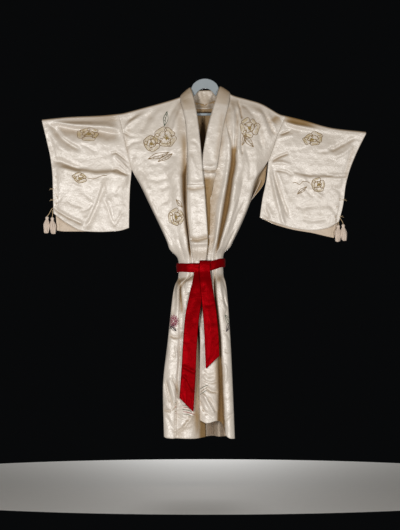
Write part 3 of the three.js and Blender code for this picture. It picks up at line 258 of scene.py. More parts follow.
# Creases pressed in: path in (x, z), width of the flank left of the path and of the one right
# of it, how far it stands forward
CREASES = {
    "collar": [
        # Ends of the over-collar draw the lapels in
        ([(-84, -437), (-40, -442), (14, -431)], 4, 9, -3),
        ([(-84, -418), (-40, -422), (14, -412)], 9, 5, 2),
        ([(-10, -366), (16, -374), (56, -368)], 5, 6, -5),
        ([(-6, -350), (20, -357), (50, -350)], 9, 5, 3.5),
        ([(14, -372), (34, -384), (50, -400)], 6, 6, 3),
        ([(-18, -230), (6, -250), (20, -300), (28, -350)], 8, 10, -2),
        ([(-70, -180), (-62, -240), (-40, -330)], 9, 8, -1.5),
        ([(-56, -250), (-30, -262), (-20, -300)], 6, 6, -1.8),
        ([(-62, -300), (-46, -340), (-30, -400)], 6, 7, 1.8),
        ([(-40, -470), (-24, -520), (-30, -580)], 7, 7, -1.4),
        # Fold across the inner lapel above the sash
        ([(-74, -642), (-30, -648), (16, -636)], 11, 4, -5),
        ([(-74, -659), (-30, -661), (18, -657)], 3.5, 5, 5),
        ([(-74, -674), (-30, -676), (16, -672)], 6, 12, -3),
        ([(-44, -668), (-40, -700), (-38, -730)], 5, 5, -2.5),
        ([(-22, -668), (-24, -700), (-28, -730)], 5, 5, 2.5),
    ],
    "back": [
        ([(-300, -150), (-180, -200), (-60, -190)], 14, 10, -4),
        ([(280, -160), (170, -205), (60, -200)], 10, 14, -4),
        ([(-270, -330), (-200, -360), (-150, -440)], 10, 14, 5),
        ([(240, -300), (180, -350), (130, -440)], 14, 10, 5),
        ([(-150, -480), (-90, -580), (-60, -700)], 10, 8, -5),
        ([(120, -480), (70, -590), (30, -700)], 8, 10, -5),
        ([(-90, -800), (-110, -960), (-104, -1120)], 8, 8, -4),
        ([(50, -800), (70, -950), (62, -1150)], 8, 8, -4),
        ([(-130, -1180), (-70, -1210), (-20, -1190)], 9, 12, -3),
        ([(-10, -1290), (40, -1320), (96, -1290)], 9, 12, -3),
    ],
    "sleeve_right": [
        # The slack rolls over below the top
        ([(-636, -164), (-580, -176), (-520, -188), (-440, -194), (-396, -196), (-356, -202)], 20, 7, 12),
        # Its shadow line
        ([(-620, -174), (-580, -190), (-520, -202), (-420, -208), (-388, -216), (-352, -222)], 6, 26, -12),
        # Pull from the upper corner
        ([(-628, -170), (-596, -206), (-572, -238), (-544, -260), (-504, -282)], 7, 12, -7),
        ([(-636, -174), (-616, -222), (-580, -274), (-540, -298)], 10, 14, 4),
        # Fold across the middle
        ([(-616, -358), (-556, -364), (-516, -374), (-472, -378), (-432, -384),
          (-396, -382), (-368, -380), (-336, -390), (-296, -390)], 11, 40, 10),
        ([(-612, -330), (-572, -334), (-540, -350), (-500, -364)], 12, 9, -6),
        # Creases at the armpit
        ([(-380, -312), (-368, -298), (-356, -296), (-336, -310), (-304, -336)], 5, 4, -6),
        ([(-364, -308), (-340, -330), (-312, -358), (-296, -378)], 4, 5, 4.5),
        ([(-348, -334), (-324, -358), (-298, -374)], 2.5, 2.5, -2.5),
        ([(-372, -378), (-360, -360), (-348, -362), (-332, -374), (-316, -384), (-296, -386)], 4, 5, -6),
        # Long V folds below
        ([(-400, -394), (-408, -438), (-424, -482), (-440, -522), (-456, -558), (-472, -590)], 14, 5, -6),
        ([(-416, -422), (-432, -486), (-456, -538), (-480, -582)], 5, 14, 3),
        ([(-408, -474), (-394, -506), (-380, -542), (-368, -582)], 5, 5, -4),
        ([(-392, -470), (-372, -510), (-368, -566)], 7, 8, 3),
        ([(-328, -526), (-344, -558), (-364, -592)], 5, 6, -4),
        ([(-336, -430), (-360, -470)], 4, 4, -2),
        ([(-420, -410), (-404, -430), (-396, -454)], 3, 3, -1.5),
        # The front corner curls
        ([(-612, -506), (-588, -530), (-548, -554), (-492, -580)], 8, 6, -6),
        ([(-556, -482), (-532, -502), (-492, -514)], 5, 6, -2),
        ([(-500, -534), (-468, -522), (-448, -502)], 5, 5, -2),
        ([(-580, -430), (-532, -422), (-492, -438)], 6, 7, -1.5),
        ([(-484, -458), (-460, -478), (-440, -498)], 4, 4, -1.5),
        ([(-360, -506), (-324, -498), (-296, -514)], 5, 5, -1.5),
        ([(-572, -474), (-588, -498)], 4, 5, -2),
        ([(-500, -262), (-468, -274), (-436, -294)], 6, 6, -2),
    ],
    "sleeve_left": [
        # Top slack, facing up
        ([(296, -150), (332, -176), (364, -188), (428, -194), (520, -200), (612, -214)], 26, 12, 12),
        ([(304, -170), (332, -194), (380, -206)], 7, 10, -4),
        # Hook crease over the armhole
        ([(244, -138), (260, -182), (272, -212), (288, -224), (312, -220), (336, -210)], 5, 4, -8),
        ([(280, -246), (316, -234), (352, -226)], 8, 6, 3),
        # Armpit fold
        ([(264, -332), (280, -320), (304, -308), (332, -298)], 4, 6, -7),
        ([(260, -346), (284, -338), (308, -336), (340, -346)], 7, 5, 3.5),
        ([(272, -366), (300, -368), (324, -372), (348, -386)], 4, 5, -5),
        # Fold across the middle
        ([(340, -374), (396, -390), (452, -400), (508, -394), (568, -390)], 8, 30, 7),
        ([(476, -388), (520, -392), (564, -390)], 4, 5, -5),
        ([(348, -370), (380, -382), (428, -390)], 5, 7, -4),
        # Upright ridges below the armpit
        ([(258, -338), (268, -390), (280, -446), (296, -510), (316, -586)], 6, 8, 8),
        ([(272, -366), (292, -438), (312, -498), (332, -550)], 6, 5, -7),
        ([(284, -358), (308, -422), (324, -470)], 6, 5, 3),
        # Pull from the cuff
        ([(608, -230), (568, -254), (532, -274), (504, -288)], 9, 10, -6),
        ([(596, -266), (556, -298), (516, -318)], 9, 9, 3),
        ([(512, -270), (488, -294), (452, -294)], 7, 7, -2.5),
        ([(388, -394), (416, -426), (444, -454), (468, -474)], 5, 6, 4),
        ([(376, -406), (400, -438), (432, -474)], 4, 5, -3),
        ([(364, -430), (384, -454), (396, -478)], 4, 4, -2),
        # Folds in the inner corner
        ([(228, -502), (240, -526), (254, -558)], 4, 4, -6),
        ([(244, -498), (260, -534), (272, -566)], 5, 6, 3),
        ([(228, -522), (238, -542), (248, -562)], 3, 3, -3),
        ([(452, -470), (468, -506), (460, -542)], 8, 9, -2),
        ([(352, -506), (392, -518), (432, -510)], 8, 8, -2),
        ([(380, -558), (428, -570), (484, -562)], 7, 9, -2.5),
        ([(500, -430), (532, -446), (552, -470)], 6, 7, -2),
        ([(484, -498), (512, -522), (532, -554)], 6, 6, -2),
        ([(332, -286), (380, -286), (428, -270)], 8, 8, -1.5),
    ],
    "front_right": [
        # Shoulder fold
        ([(-324, -202), (-296, -174), (-264, -150), (-228, -126)], 5, 9, 6),
        ([(-312, -172), (-276, -144), (-236, -118)], 8, 5, -6),
        ([(-252, -222), (-236, -174), (-220, -138), (-204, -110)], 9, 9, -5),
        ([(-212, -198), (-196, -150), (-168, -106)], 8, 8, 3.5),
        ([(-160, -198), (-140, -146), (-116, -102)], 7, 7, -4),
        ([(-132, -222), (-116, -166), (-96, -118)], 5, 6, 4),
        # At the armhole
        ([(-332, -210), (-312, -222), (-288, -234)], 4, 5, -4),
        ([(-316, -278), (-292, -258), (-256, -250)], 6, 6, -2.5),
        ([(-296, -320), (-284, -312), (-272, -318)], 3, 3, -3),
        # Soft wrinkles on the chest
        ([(-220, -350), (-180, -338), (-140, -358)], 7, 7, -2),
        ([(-236, -398), (-192, -410), (-140, -398)], 8, 8, -2),
        ([(-200, -318), (-160, -302), (-116, -314)], 6, 7, -2),
        ([(-260, -358), (-232, -390), (-220, -438)], 7, 7, -2),
        ([(-180, -446), (-140, -430), (-108, -446)], 8, 8, -2),
        ([(-220, -470), (-196, -510), (-180, -558)], 7, 8, -2),
        ([(-200, -574), (-164, -606), (-132, -654)], 6, 7, -2),
        ([(-180, -506), (-140, -482), (-104, -494)], 7, 7, -1.6),
        ([(-160, -646), (-132, -686), (-104, -734)], 4, 5, -2.5),
        ([(-108, -630), (-92, -686), (-76, -734)], 4, 5, -2.5),
        # Below the sash
        ([(-98, -780), (-99, -830), (-96, -880), (-90, -930)], 3.5, 3.5, -7),
        ([(-106, -790), (-108, -854), (-104, -910), (-96, -966)], 4, 5, 3),
        ([(-82, -858), (-72, -859), (-62, -856)], 2.5, 3, -3),
        # Knee crease
        ([(-148, -1020), (-124, -1032), (-104, -1030), (-84, -1016)], 3, 5, -6),
        ([(-130, -1004), (-108, -1010), (-88, -1004)], 5, 4, 3),
        ([(-124, -820), (-118, -880), (-124, -940)], 6, 6, -3),
        ([(-138, -900), (-130, -960), (-136, -1010)], 4, 5, 3),
        ([(-140, -1038), (-112, -1050), (-84, -1038)], 9, 12, 2),
        ([(-148, -1058), (-152, -1094), (-160, -1134)], 4, 5, -3),
        ([(-132, -1110), (-108, -1094), (-88, -1102)], 6, 7, -2.5),
        ([(-156, -1198), (-148, -1238), (-136, -1278), (-128, -1306)], 5, 5, -5),
        ([(-144, -1190), (-132, -1238), (-116, -1286)], 6, 6, 3.5),
        # Pinch above the hem
        ([(-168, -1322), (-152, -1324), (-136, -1326)], 4, 5, -6),
        ([(-136, -1326), (-120, -1306), (-108, -1290)], 4, 4, -4.5),
        ([(-164, -1294), (-148, -1310), (-136, -1326)], 4, 4, 3),
        ([(-132, -1330), (-112, -1318), (-84, -1310), (-60, -1318)], 4, 5, 3),
        ([(-156, -1342), (-140, -1374), (-120, -1410)], 7, 8, -4),
        ([(-162, -1210), (-154, -1250), (-142, -1290)], 3, 3, -5),
        ([(-134, -1180), (-118, -1224), (-104, -1272), (-96, -1300)], 4, 3.5, -5),
        ([(-120, -1060), (-110, -1120), (-114, -1180)], 5, 4, 3.5),
        ([(-116, -1338), (-90, -1356), (-60, -1362)], 4, 4, -4),
        ([(-104, -1376), (-80, -1390), (-56, -1388)], 4, 5, 3),
        # Long slant to the hem
        ([(-36, -1326), (-60, -1362), (-88, -1394), (-116, -1418)], 4, 6, 5),
        ([(-64, -1330), (-76, -1366), (-100, -1398)], 7, 5, -3.5),
    ],
    "front_left": [
        # Deep fold beside the collar, then the shoulder fold
        ([(126, -112), (130, -170), (126, -240), (122, -300)], 7, 9, -9),
        ([(104, -90), (112, -130), (114, -200), (114, -280)], 6, 5, 4.5),
        ([(122, -66), (130, -90), (140, -118), (146, -158)], 4, 3.5, -9),
        ([(140, -102), (168, -118), (188, -146)], 5, 5, -3),
        ([(164, -86), (192, -110), (212, -146)], 6, 6, 3),
        # Ridge from the shoulder
        ([(208, -110), (224, -146), (240, -190), (256, -238)], 7, 5, 7),
        ([(188, -126), (204, -174), (216, -222), (228, -274)], 6, 6, -4.5),
        ([(226, -102), (240, -138), (256, -176), (268, -206), (276, -222)], 4, 4, -7),
        ([(244, -120), (262, -160), (278, -200)], 4, 6, 4),
        # Beside the blossom
        ([(146, -210), (144, -254), (148, -302)], 4, 4, -6),
        ([(130, -166), (126, -226), (132, -294)], 4, 5, 5),
        ([(212, -242), (220, -262), (232, -286)], 3, 3, -2.5),
        ([(164, -286), (180, -346), (176, -406)], 7, 7, -2),
        ([(204, -326), (208, -386), (192, -454)], 6, 6, 2),
        ([(152, -390), (144, -454), (128, -518)], 6, 6, -2),
        ([(164, -486), (132, -542), (108, -606)], 5, 6, -3),
        ([(132, -470), (108, -542), (88, -622)], 5, 5, 2.5),
        ([(124, -598), (100, -646), (76, -694)], 4, 4, -3),
        # Below the sash
        ([(38, -778), (40, -846), (44, -926), (50, -1026)], 5, 4, -5),
        ([(68, -790), (84, -846), (94, -902)], 5, 4, -4.5),
        ([(56, -790), (64, -854), (76, -910)], 5, 5, 3.5),
        ([(96, -910), (84, -934), (76, -966)], 4, 4, -3),
        ([(76, -1088), (88, -1092), (104, -1090)], 3, 3, -5),
        ([(74, -868), (80, -894), (88, -912)], 3, 3, -5),
        ([(64, -884), (72, -906), (82, -922)], 3, 4, 3),
        ([(74, -1130), (84, -1160), (82, -1210)], 5, 5, 3.5),
        ([(68, -1006), (88, -1022), (100, -1050)], 5, 5, -3),
        ([(64, -1174), (88, -1198), (108, -1190)], 7, 7, -2),
        ([(60, -1270), (88, -1290), (116, -1278)], 7, 7, -2.5),
        ([(68, -1382), (92, -1350), (116, -1334)], 5, 6, -3),
    ],
    "overlap_right": [
        ([(-64, -886), (-56, -958), (-60, -1046)], 5, 5, -3),
        ([(-68, -1126), (-52, -1190), (-56, -1262)], 5, 6, -3),
        ([(-88, -1302), (-60, -1290), (-32, -1302)], 4, 4, -3.5),
        ([(-88, -1322), (-60, -1314), (-32, -1330)], 4, 4, 3),
        ([(-84, -1342), (-60, -1342), (-36, -1366)], 4, 5, -3),
    ],
    "overlap_left": [
        ([(-8, -886), (0, -974), (-4, -1066)], 5, 5, -3),
        # Creases at the knee
        ([(-24, -1230), (-4, -1222), (12, -1234)], 4, 4, -4),
        ([(4, -1230), (24, -1246), (48, -1250)], 5, 8, -7.5),
        ([(-20, -1250), (0, -1270), (16, -1302), (36, -1338)], 4, 5, 8),
        ([(8, -1270), (28, -1294), (44, -1330)], 5, 5, -6),
        ([(-24, -1278), (-12, -1310), (4, -1342)], 5, 5, -5.5),
        ([(-8, -1166), (16, -1190), (36, -1182)], 5, 6, -3),
        ([(-12, -1196), (6, -1210), (30, -1214), (46, -1208)], 3, 4, -5),
        ([(20, -1262), (36, -1286), (50, -1298)], 3, 3, 4),
        ([(-16, -1316), (4, -1328), (28, -1352)], 3, 4, -4),
    ],
}

# Painted shade: places where the cloth is darkened towards brown, in shadow or turned from the light: path
# in (x, z), its width left of the path and right of it, how much
PAINTED_SHADE_PATHS = {
    "collar": [
        ([(-84, -40), (-80, -80), (-76, -128)], 44, 44, 0.34),
        ([(86, -30), (78, -70), (70, -104)], 44, 44, 0.34),
        ([(-84, -437), (-40, -442), (14, -431)], 2, 7, 0.6),
        ([(-20, -364), (16, -373), (60, -366)], 3, 6, 0.6),
        ([(-74, -644), (-30, -650), (16, -638)], 13, 4, 0.65),
        ([(-70, -700), (-30, -700), (16, -696)], 26, 30, 0.28),
        ([(70, -120), (64, -180), (54, -260), (44, -330)], 9, 9, 0.3),
    ],
    "nape": [([(-110, -84), (0, -92), (110, -84)], 60, 60, 0.42)],
    "under_lapel": [([(8, -330), (8, -440), (14, -540), (16, -700)], 44, 44, 1.0)],
    "sleeve_right": [([(-570, -158), (-500, -160), (-430, -162), (-350, -166)], 12, 9, 0.4)],
    "sleeve_left": [
        ([(292, -150), (320, -166), (360, -178), (430, -188), (500, -196), (600, -208)], 34, 8, 0.95),
        ([(600, -260), (576, -330), (560, -400)], 7, 5, 0.3),
    ],
    "front_right": [
        ([(-83, -190), (-83, -300), (-82, -400), (-76, -520), (-68, -630)], 11, 12, 0.8),
        ([(-110, -110), (-104, -180), (-100, -260)], 18, 8, 0.22),
        ([(-300, -190), (-316, -240), (-310, -300)], 8, 8, 0.25),
        ([(-22, -880), (-30, -1000), (-34, -1150), (-34, -1300), (-30, -1424)], 15, 12, 0.75),
        ([(-98, -780), (-99, -830), (-96, -880), (-90, -930)], 3, 3, 0.4),
        ([(-148, -1020), (-124, -1032), (-104, -1030), (-84, -1016)], 2.5, 3, 0.35),
        ([(-168, -1322), (-152, -1324), (-136, -1326)], 3, 3, 0.4),
        ([(-156, -1198), (-148, -1238), (-136, -1278), (-128, -1306)], 4, 4, 0.35),
        ([(-30, -1322), (-60, -1360), (-90, -1392), (-120, -1424)], 30, 5, 0.28),
        ([(-104, -790), (-100, -860), (-92, -930)], 5, 16, 0.22),
    ],
    "front_left": [
        ([(40, -800), (42, -900), (48, -1040), (50, -1180), (56, -1260), (58, -1340), (62, -1410)],
         9, 12, 0.7),
        ([(196, -130), (214, -170), (226, -220), (236, -270)], 5, 5, 0.2),
        ([(122, -66), (130, -90), (140, -118), (146, -158)], 4, 4, 0.45),
        ([(126, -122), (130, -170), (126, -240), (120, -300)], 6, 7, 0.3),
        ([(300, -150), (280, -158), (268, -172)], 22, 8, 0.8),
        ([(258, -156), (266, -190), (274, -216), (286, -224)], 4, 4, 0.35),
    ],
    "lining_left": [([(262, -320), (236, -400), (216, -470)], 40, 40, 0.85)],
    "lining_right": [([(-300, -350), (-262, -430), (-240, -480)], 40, 40, 0.6)],
}

# Sash tails: middle (x, y, z) down each, width there, how far its two lower corners are cut up, and
# creases as above, but in millimetres across it and down its length. "seed" picks its waves. The left
# one starts behind the sash's top edge and wraps over it.
TAILS = {
    "right": {
        "path": [
            (-33, -48.4, -762), (-32, -50.5, -779), (-31, -62, -815), (-36, -68, -860), (-52, -78, -960),
            (-60, -82, -1060), (-66, -84, -1180), (-74, -84, -1300),
        ],
        "wide": [20, 24, 38, 50, 56, 56, 56, 56],
        "cut": (24, -28),
        "seed": 60,
        "creases": [
            ([(-27, 398), (-6, 402), (14, 407), (27, 405)], 5, 9, 2.4),
            ([(-24, 436), (-8, 442), (6, 456), (22, 470)], 6, 8, 2.4),
            ([(-10, 478), (8, 484), (24, 482)], 6, 6, -1.2),
            ([(-20, 300), (6, 296), (22, 306)], 7, 7, -0.8),
        ],
    },
    "left": {
        "path": [
            (-1, -49.2, -741), (-1, -51, -732), (-1, -56, -729), (-1, -60.5, -737), (-1, -61.5, -752),
            (-1.5, -61, -768), (1, -64, -790), (4, -69, -815), (9, -73, -860), (18, -78, -930),
            (26, -83, -1030), (30, -84, -1132),
        ],
        "wide": [34, 37, 40, 42, 42.5, 43, 44, 46, 50, 54, 56, 54],
        "cut": (-26, 24),
        "seed": 50,
        "creases": [
            ([(-20, 190), (2, 196), (20, 190)], 7, 7, -1),
            ([(-6, 330), (10, 344), (22, 362)], 6, 8, 1.2),
        ],
    },
}

# Tassels: top of each head, where its cord is tied to the sleeve's corner, its lean in degrees
TASSELS = {
    "tassel_right_outer": {"head": (-631, -9, -551), "tied": (-608.6, -9, -518), "lean": -3},
    "tassel_right_inner": {"head": (-611, -9, -554), "tied": (-608.4, -9, -526), "lean": 4},
    "tassel_left_inner": {"head": (533, -10, -585), "tied": (534.6, -10, -574.6), "lean": -2},
    "tassel_left_outer": {"head": (552, -8, -582), "tied": (541.6, -9, -557), "lean": 4},
}


def through(at, values, x):
    """A smooth curve through a table's values, read at x. It never overshoots them."""
    at, x = np.asarray(at, float), np.asarray(x, float)
    values = np.asarray(values, float)
    if values.ndim == 1:
        values = np.broadcast_to(values[:, None], (len(at), x.size))
    rise = np.diff(values, axis=0) / np.diff(at)[:, None]
    slope = np.empty(values.shape)
    slope[0], slope[-1] = rise[0], rise[-1]
    a, b = rise[:-1], rise[1:]
    same = a * b > 0
    slope[1:-1] = np.where(same, 2 * a * b / np.where(same, a + b, 1), 0)
    i = np.clip(np.searchsorted(at, x, side="right") - 1, 0, len(at) - 2)
    n = np.arange(x.size)
    span = at[i + 1] - at[i]
    s = np.clip((x - at[i]) / span, 0, 1)
    return (
        values[i, n] * (1 + 2 * s) * (1 - s) ** 2 + slope[i, n] * span * s * (1 - s) ** 2
        + values[i + 1, n] * s * s * (3 - 2 * s) - slope[i + 1, n] * span * s * s * (1 - s)
    )


def line(points, share):
    """A line through points, read at a share of its length by number of points."""
    at = np.linspace(0, 1, len(points))
    return [through(at, [p[k] for p in points], share) for k in range(len(points[0]))]


def mix(a, b, s):
    return a + (b - a) * s


def soft(s):
    """Eases from 0 to 1 as s does."""
    c = np.clip(s, 0, 1)
    return c * c * (3 - 2 * c)


def bell(s, power=2):
    return np.exp(-(s**power))


def across(points, steps):
    """Smooth sections through fold lines. Points are (rows, lines, 3), steps the cells between lines."""
    before = 2 * points[:, :1] - points[:, 1:2]
    after = 2 * points[:, -1:] - points[:, -2:-1]
    p = np.concatenate([before, points, after], axis=1)
    reach = np.sqrt(np.linalg.norm(np.diff(p, axis=1), axis=2, keepdims=True))
    reach = np.maximum(reach, 0.01)
    made = [points[:, 0]]
    for i, count in enumerate(steps):
        p0, p1, p2, p3 = (p[:, i + k] for k in range(4))
        d0, d1, d2 = (reach[:, i + k] for k in range(3))
        t1 = ((p1 - p0) / d0 - (p2 - p0) / (d0 + d1) + (p2 - p1) / d1) * d1
        t2 = ((p2 - p1) / d1 - (p3 - p1) / (d1 + d2) + (p3 - p2) / d2) * d1
        for k in range(1, count + 1):
            w = k / count
            made.append(
                p1 + t1 * w + (3 * (p2 - p1) - 2 * t1 - t2) * w * w + (2 * (p1 - p2) + t1 + t2) * w**3
            )
    return np.stack(made, axis=1)


def crease_height(creases, x, z):
    """How far forward a list of creases brings the cloth at x, z."""
    total = np.zeros(x.shape)
    for path, wide_a, wide_b, forward in creases:
        near = np.full(x.shape, 1e9)
        depth = np.zeros(x.shape)
        lengths = [math.dist(a, b) for a, b in zip(path, path[1:])]
        whole, run = sum(lengths), 0
        for (a, b), long in zip(zip(path, path[1:]), lengths):
            dx, dz = (b[0] - a[0]) / long, (b[1] - a[1]) / long
            along = (x - a[0]) * dx + (z - a[1]) * dz
            first, last = a == path[0], b == path[-1]
            held = np.clip(along, -1e9 if first else 0, 1e9 if last else long)
            away = (x - a[0] - held * dx) * dz - (z - a[1] - held * dz) * dx
            off = np.hypot(x - a[0] - held * dx, z - a[1] - held * dz)
            s = (run + held) / whole
            ends = soft(s / 0.2) * soft((1.08 - s) / 0.16)
            mine = ends * bell(off / np.where(away > 0, wide_b, wide_a))
            closer = off < near
            near = np.where(closer, off, near)
            depth = np.where(closer, mine, depth)
            run += long
        total += forward * depth
    return total


# Painted shade from the listed paths, from 0 to 1
def painted_shade(name, x, z):
    return np.clip(crease_height(PAINTED_SHADE_PATHS[name], x, z), 0, 1)


def crumple(x, z, size, seed):
    """Soft uneven waves between -1 and 1, about a size across."""
    table = np.random.default_rng(seed).uniform(-1, 1, (64, 64))
    gx, gz = x / size, z / size
    i, j = np.floor(gx).astype(int), np.floor(gz).astype(int)
    fx, fz = soft(gx - i), soft(gz - j)

    def at(a, b):
        return table[(i + a) % 64, (j + b) % 64]

    return mix(mix(at(0, 0), at(1, 0), fx), mix(at(0, 1), at(1, 1), fx), fz)


# Crumples of hung satin, large and small: how far forward, how far across
CRUMPLES = {"large": (1.1, 38), "small": (0.9, 17)}


def crumples(x, z, seed):
    """How far the crumples of hung satin stand forward at x, z. The large ones slant."""
    (large, wide), (small, narrow) = CRUMPLES["large"], CRUMPLES["small"]
    slanted = crumple(x * 0.8 + z * 0.45, z * 0.7 - x * 0.3, wide, seed)
    return large * slanted + small * crumple(x, z, narrow, seed + 1)


def sunk(points, reach=42, start=3, full=19, facing_flap=None):
    """How deep each point of a section lies between the folds on both its sides, from 0 to 1.

    A fold counts within reach. The depth tells from start on, and no more from full on.
    """
    x, y = points[..., 0], points[..., 1]
    count = y.shape[1]
    columns = np.arange(count)
    nearest = []
    for way in (-1, 1):
        near = y.copy()
        for step in range(1, 30):
            beside = np.roll(y, way * step, axis=1)
            away = np.abs(np.roll(x, way * step, axis=1) - x)
            real = (columns - way * step >= 0) & (columns - way * step < count)
            near = np.where(real[None] & (away < reach), np.minimum(near, beside), near)
        nearest.append(near)
    if facing_flap is not None:
        edge = np.abs(x - x[:, :1]) < reach
        nearest[1] = np.where(edge, np.minimum(nearest[1], facing_flap), nearest[1])
    return soft((y - np.maximum(*nearest) - start) / (full - start))


def sash_z(x):
    """Middle height of the sash at x, level on the right half and rising on the left."""
    return mix(SASH["low_z"], SASH["high_z"], soft((x - SASH["centre"]) / SASH["half_wide"]))


def gathered(points, t):
    """Keeps the cloth inside the sash's loop between its two edges."""
    over = GATHERED["over"]
    hold = soft((t - GATHERED["from"]) / over) * (1 - soft((t - LEVEL["sash_bottom"]) / over))
    dx = (points[..., 0] - SASH["centre"]) / (SASH["half_wide"] - SASH["slack"])
    dy = points[..., 1] / (SASH["half_deep"] - SASH["slack"])
    s = mix(1, 1 / np.maximum(np.hypot(dx, dy), 1), hold)
    made = points.copy()
    made[..., 0] = SASH["centre"] + (points[..., 0] - SASH["centre"]) * s
    made[..., 1] *= s
    return made


def collar_edge(station, edge):
    at = np.arange(len(COLLAR))
    return np.stack([through(at, [s[edge][k] for s in COLLAR], station) for k in range(3)], axis=-1)


def under_collar(half, z, tuck):
    """Where a panel's edge lies under the collar's outer edge, at a height."""
    side = HALF[half]["side"]
    rows = [s[1] for s in (COLLAR[:10] if side < 0 else COLLAR[17:][::-1])]
    at = [r[2] for r in rows]
    return through(at, [r[0] for r in rows], z) - side * tuck, through(at, [r[1] for r in rows], z) + LAYER


def height_at(half, t, x, shoulder_z, hem_z):
    """Height of a panel's point at section t, given its x, the shoulder above it and the hem below it."""
    sash = sash_z(x)
    known = {
        "armpit": HALF[half]["armpit"], "slit": HALF[half]["slit"],
        "rib": HEIGHT["rib"], "high": HEIGHT["high"],
        "sash_top": sash + SASH["hold"], "sash_bottom": sash - SASH["hold"],
        "hip": HEIGHT["hip"], "thigh": HEIGHT["thigh"], "knee": HEIGHT["knee"], "hem": hem_z,
    }
    lower = through([LEVEL[n] for n in known], np.stack([z + 0 * t for z in known.values()]), t)
    return np.where(t <= LEVEL["armpit"], mix(shoulder_z - SHOULDER_ROUND, known["armpit"], t), lower)


def front_line(half, i, t):
    """Fold line i of a half's front at sections t."""
    shoulder = HALF[half]["shoulder"][i]
    rows = FRONT[half]
    at = [LEVEL["shoulder"]] + [LEVEL[n] for n in rows]
    x = through(at, [shoulder[0]] + [rows[n][i][0] for n in rows], t)
    y = through(at, [-SHOULDER_ROUND] + [rows[n][i][1] for n in rows], t)
    z = height_at(half, t, x, shoulder[1], FRONT_HEM[half][i])
    if i == 0:
        start = OVERLAP_START[half]
        ux, uy = under_collar(half, z, TUCK["body"])
        free = soft((t - start["point"]) / (start["full"] - start["point"]))
        x, y = mix(ux, x, free), mix(uy, y, free)
    return gathered(np.stack([x, y, z], axis=-1), t)


# Back panels: the side edge lies in from the front's, and "neck" says how much of the neck's drop
# the lines nearest the centre take
BACK_FORM = {"edge_in": 3.5, "neck": {0: 1, 1: 0.9}}


def back_line(half, i, t):
    """Fold line i of a half's back at sections t, from the centre seam to the side."""
    shoulder = HALF[half]["shoulder"]
    at = [LEVEL[n] for n in BACK]
    nape, armpit = LEVEL["nape"], LEVEL["armpit"]

    def read(key):
        k = BACK_KEYS.index(key)
        return through(at, [BACK[n][k] for n in BACK], np.maximum(t, nape))

    share = i / SIDE
    wave = 0 if i in (0, SIDE) else (-1 if i % 2 else 1)
    x = mix(read("centre"), read(half), share)
    y = mix(read("depth"), read("edge_depth"), share**2) + wave * read("fold")
    if i == SIDE:
        below = soft((t - armpit) / LEVELLED)
        x, y = x - HALF[half]["side"] * BACK_FORM["edge_in"] * below, y + (CLOTH + SEAM) * below
    z = height_at(half, t, x, shoulder[i][1], BACK_HEM)
    drop = np.where(t < nape, t / nape, np.maximum(0, (armpit - t) / (armpit - nape)))
    x = np.where(t < nape, mix(shoulder[i][0], x, drop), x)
    y = np.where(t < nape, mix(SHOULDER_ROUND, y, np.sin(drop * math.pi / 2)), y)
    at_nape = height_at(half, np.array([nape]), np.zeros(1), shoulder[0][1], BACK_HEM)
    neck = BACK_NECK - float(at_nape[0])
    near = BACK_FORM["neck"].get(i, 0)
    return gathered(np.stack([x, y, z + neck * near * drop], axis=-1), t)


def overlap_line(half, i, t):
    """Fold line i of an overlap panel at sections t: front edge, fold, middle."""
    start = OVERLAP_START[half]
    point, full = start["point"], start["full"]
    rows = OVERLAP[half]
    hem = OVERLAP_HEM[half][i]
    shoulder_z = HALF[half]["shoulder"][0][1]

    def edge_at(level):
        z = height_at(half, level, 0 * level, shoulder_z, hem)
        return np.stack(under_collar(half, z, TUCK["overlap"]))

    def table_at(level):
        known = [rows[n][i] or edge_at(np.array([float(LEVEL[n])]))[:, 0] for n in rows]
        at = [LEVEL[n] for n in rows]
        return np.stack([through(at, [k[j] for k in known], level) for j in range(2)])

    def evenly(level):
        seam = front_line(half, 0, level)
        return mix(edge_at(level), np.stack([seam[..., 0], seam[..., 1]]), i / len(OVERLAP_STEPS))

    if i == 0:
        xy = np.where(t <= LEVEL["sash_bottom"], edge_at(t), table_at(t))
    else:
        top = np.full(1, float(full))
        opened = soft((t - point) / (full - point))
        spread = table_at(top) - evenly(top)
        started = evenly(t) + np.stack([opened, opened**2]) * spread
        xy = np.where(t < full, started, table_at(t))
    z = height_at(half, t, xy[0], shoulder_z, hem)
    return gathered(np.stack([xy[0], xy[1], z], axis=-1), t)


def sections(start, end):
    """Levels from start to end, about one row of the cloth's grid apart."""
    levels = [LEVEL[n] for n in ROUGH_HEIGHT]
    down = [-z for z in ROUGH_HEIGHT.values()]
    top, bottom = np.interp([start, end], levels, down)
    return np.interp(np.linspace(top, bottom, max(2, round((bottom - top) / ROW) + 1)), down, levels)


def fold_lines(which, half, t, count=SIDE + 1):
    return [which(half, i, t) for i in range(count)]


def fold_over(top):
    """The fold over the shoulder as lines from the front to the back, along a top line's x and z."""
    turns = [(a, FRONT_WAY) for a in TURNS[::-1]] + [(0, BACK_WAY)] + [(a, BACK_WAY) for a in TURNS]
    x, z = top
    made = []
    for turn, facing in turns:
        y = np.full(np.shape(x), facing * SHOULDER_ROUND * math.sin(turn))
        made.append(np.stack([x, y, z - SHOULDER_ROUND * (1 - math.cos(turn))], axis=-1)[None])
    return made


def off_sash(t):
    """0 where the sash holds the cloth smooth, 1 well away from it, for rows at levels t."""
    return soft(np.abs(t - WAIST) * SMOOTHED["steep"] - SMOOTHED["flat"])[:, None]


def off_side(columns):
    """0 at the side seam, the last column, and 1 away from it."""
    return soft(np.linspace(0, 1, columns)[::-1] / SIDE_HELD)


def pressed(part, x, z, seed):
    """How far creases and crumples bring a part of the cloth forward at x, z."""
    return crease_height(CREASES[part], x, z) + crumples(x, z, seed)


# Seeds of the body's crumples, and the depth of the other half's cloth where it faces the front edge
FRONT_SEED, BACK_SEED = 11, 23
FACING_FLAP = -60


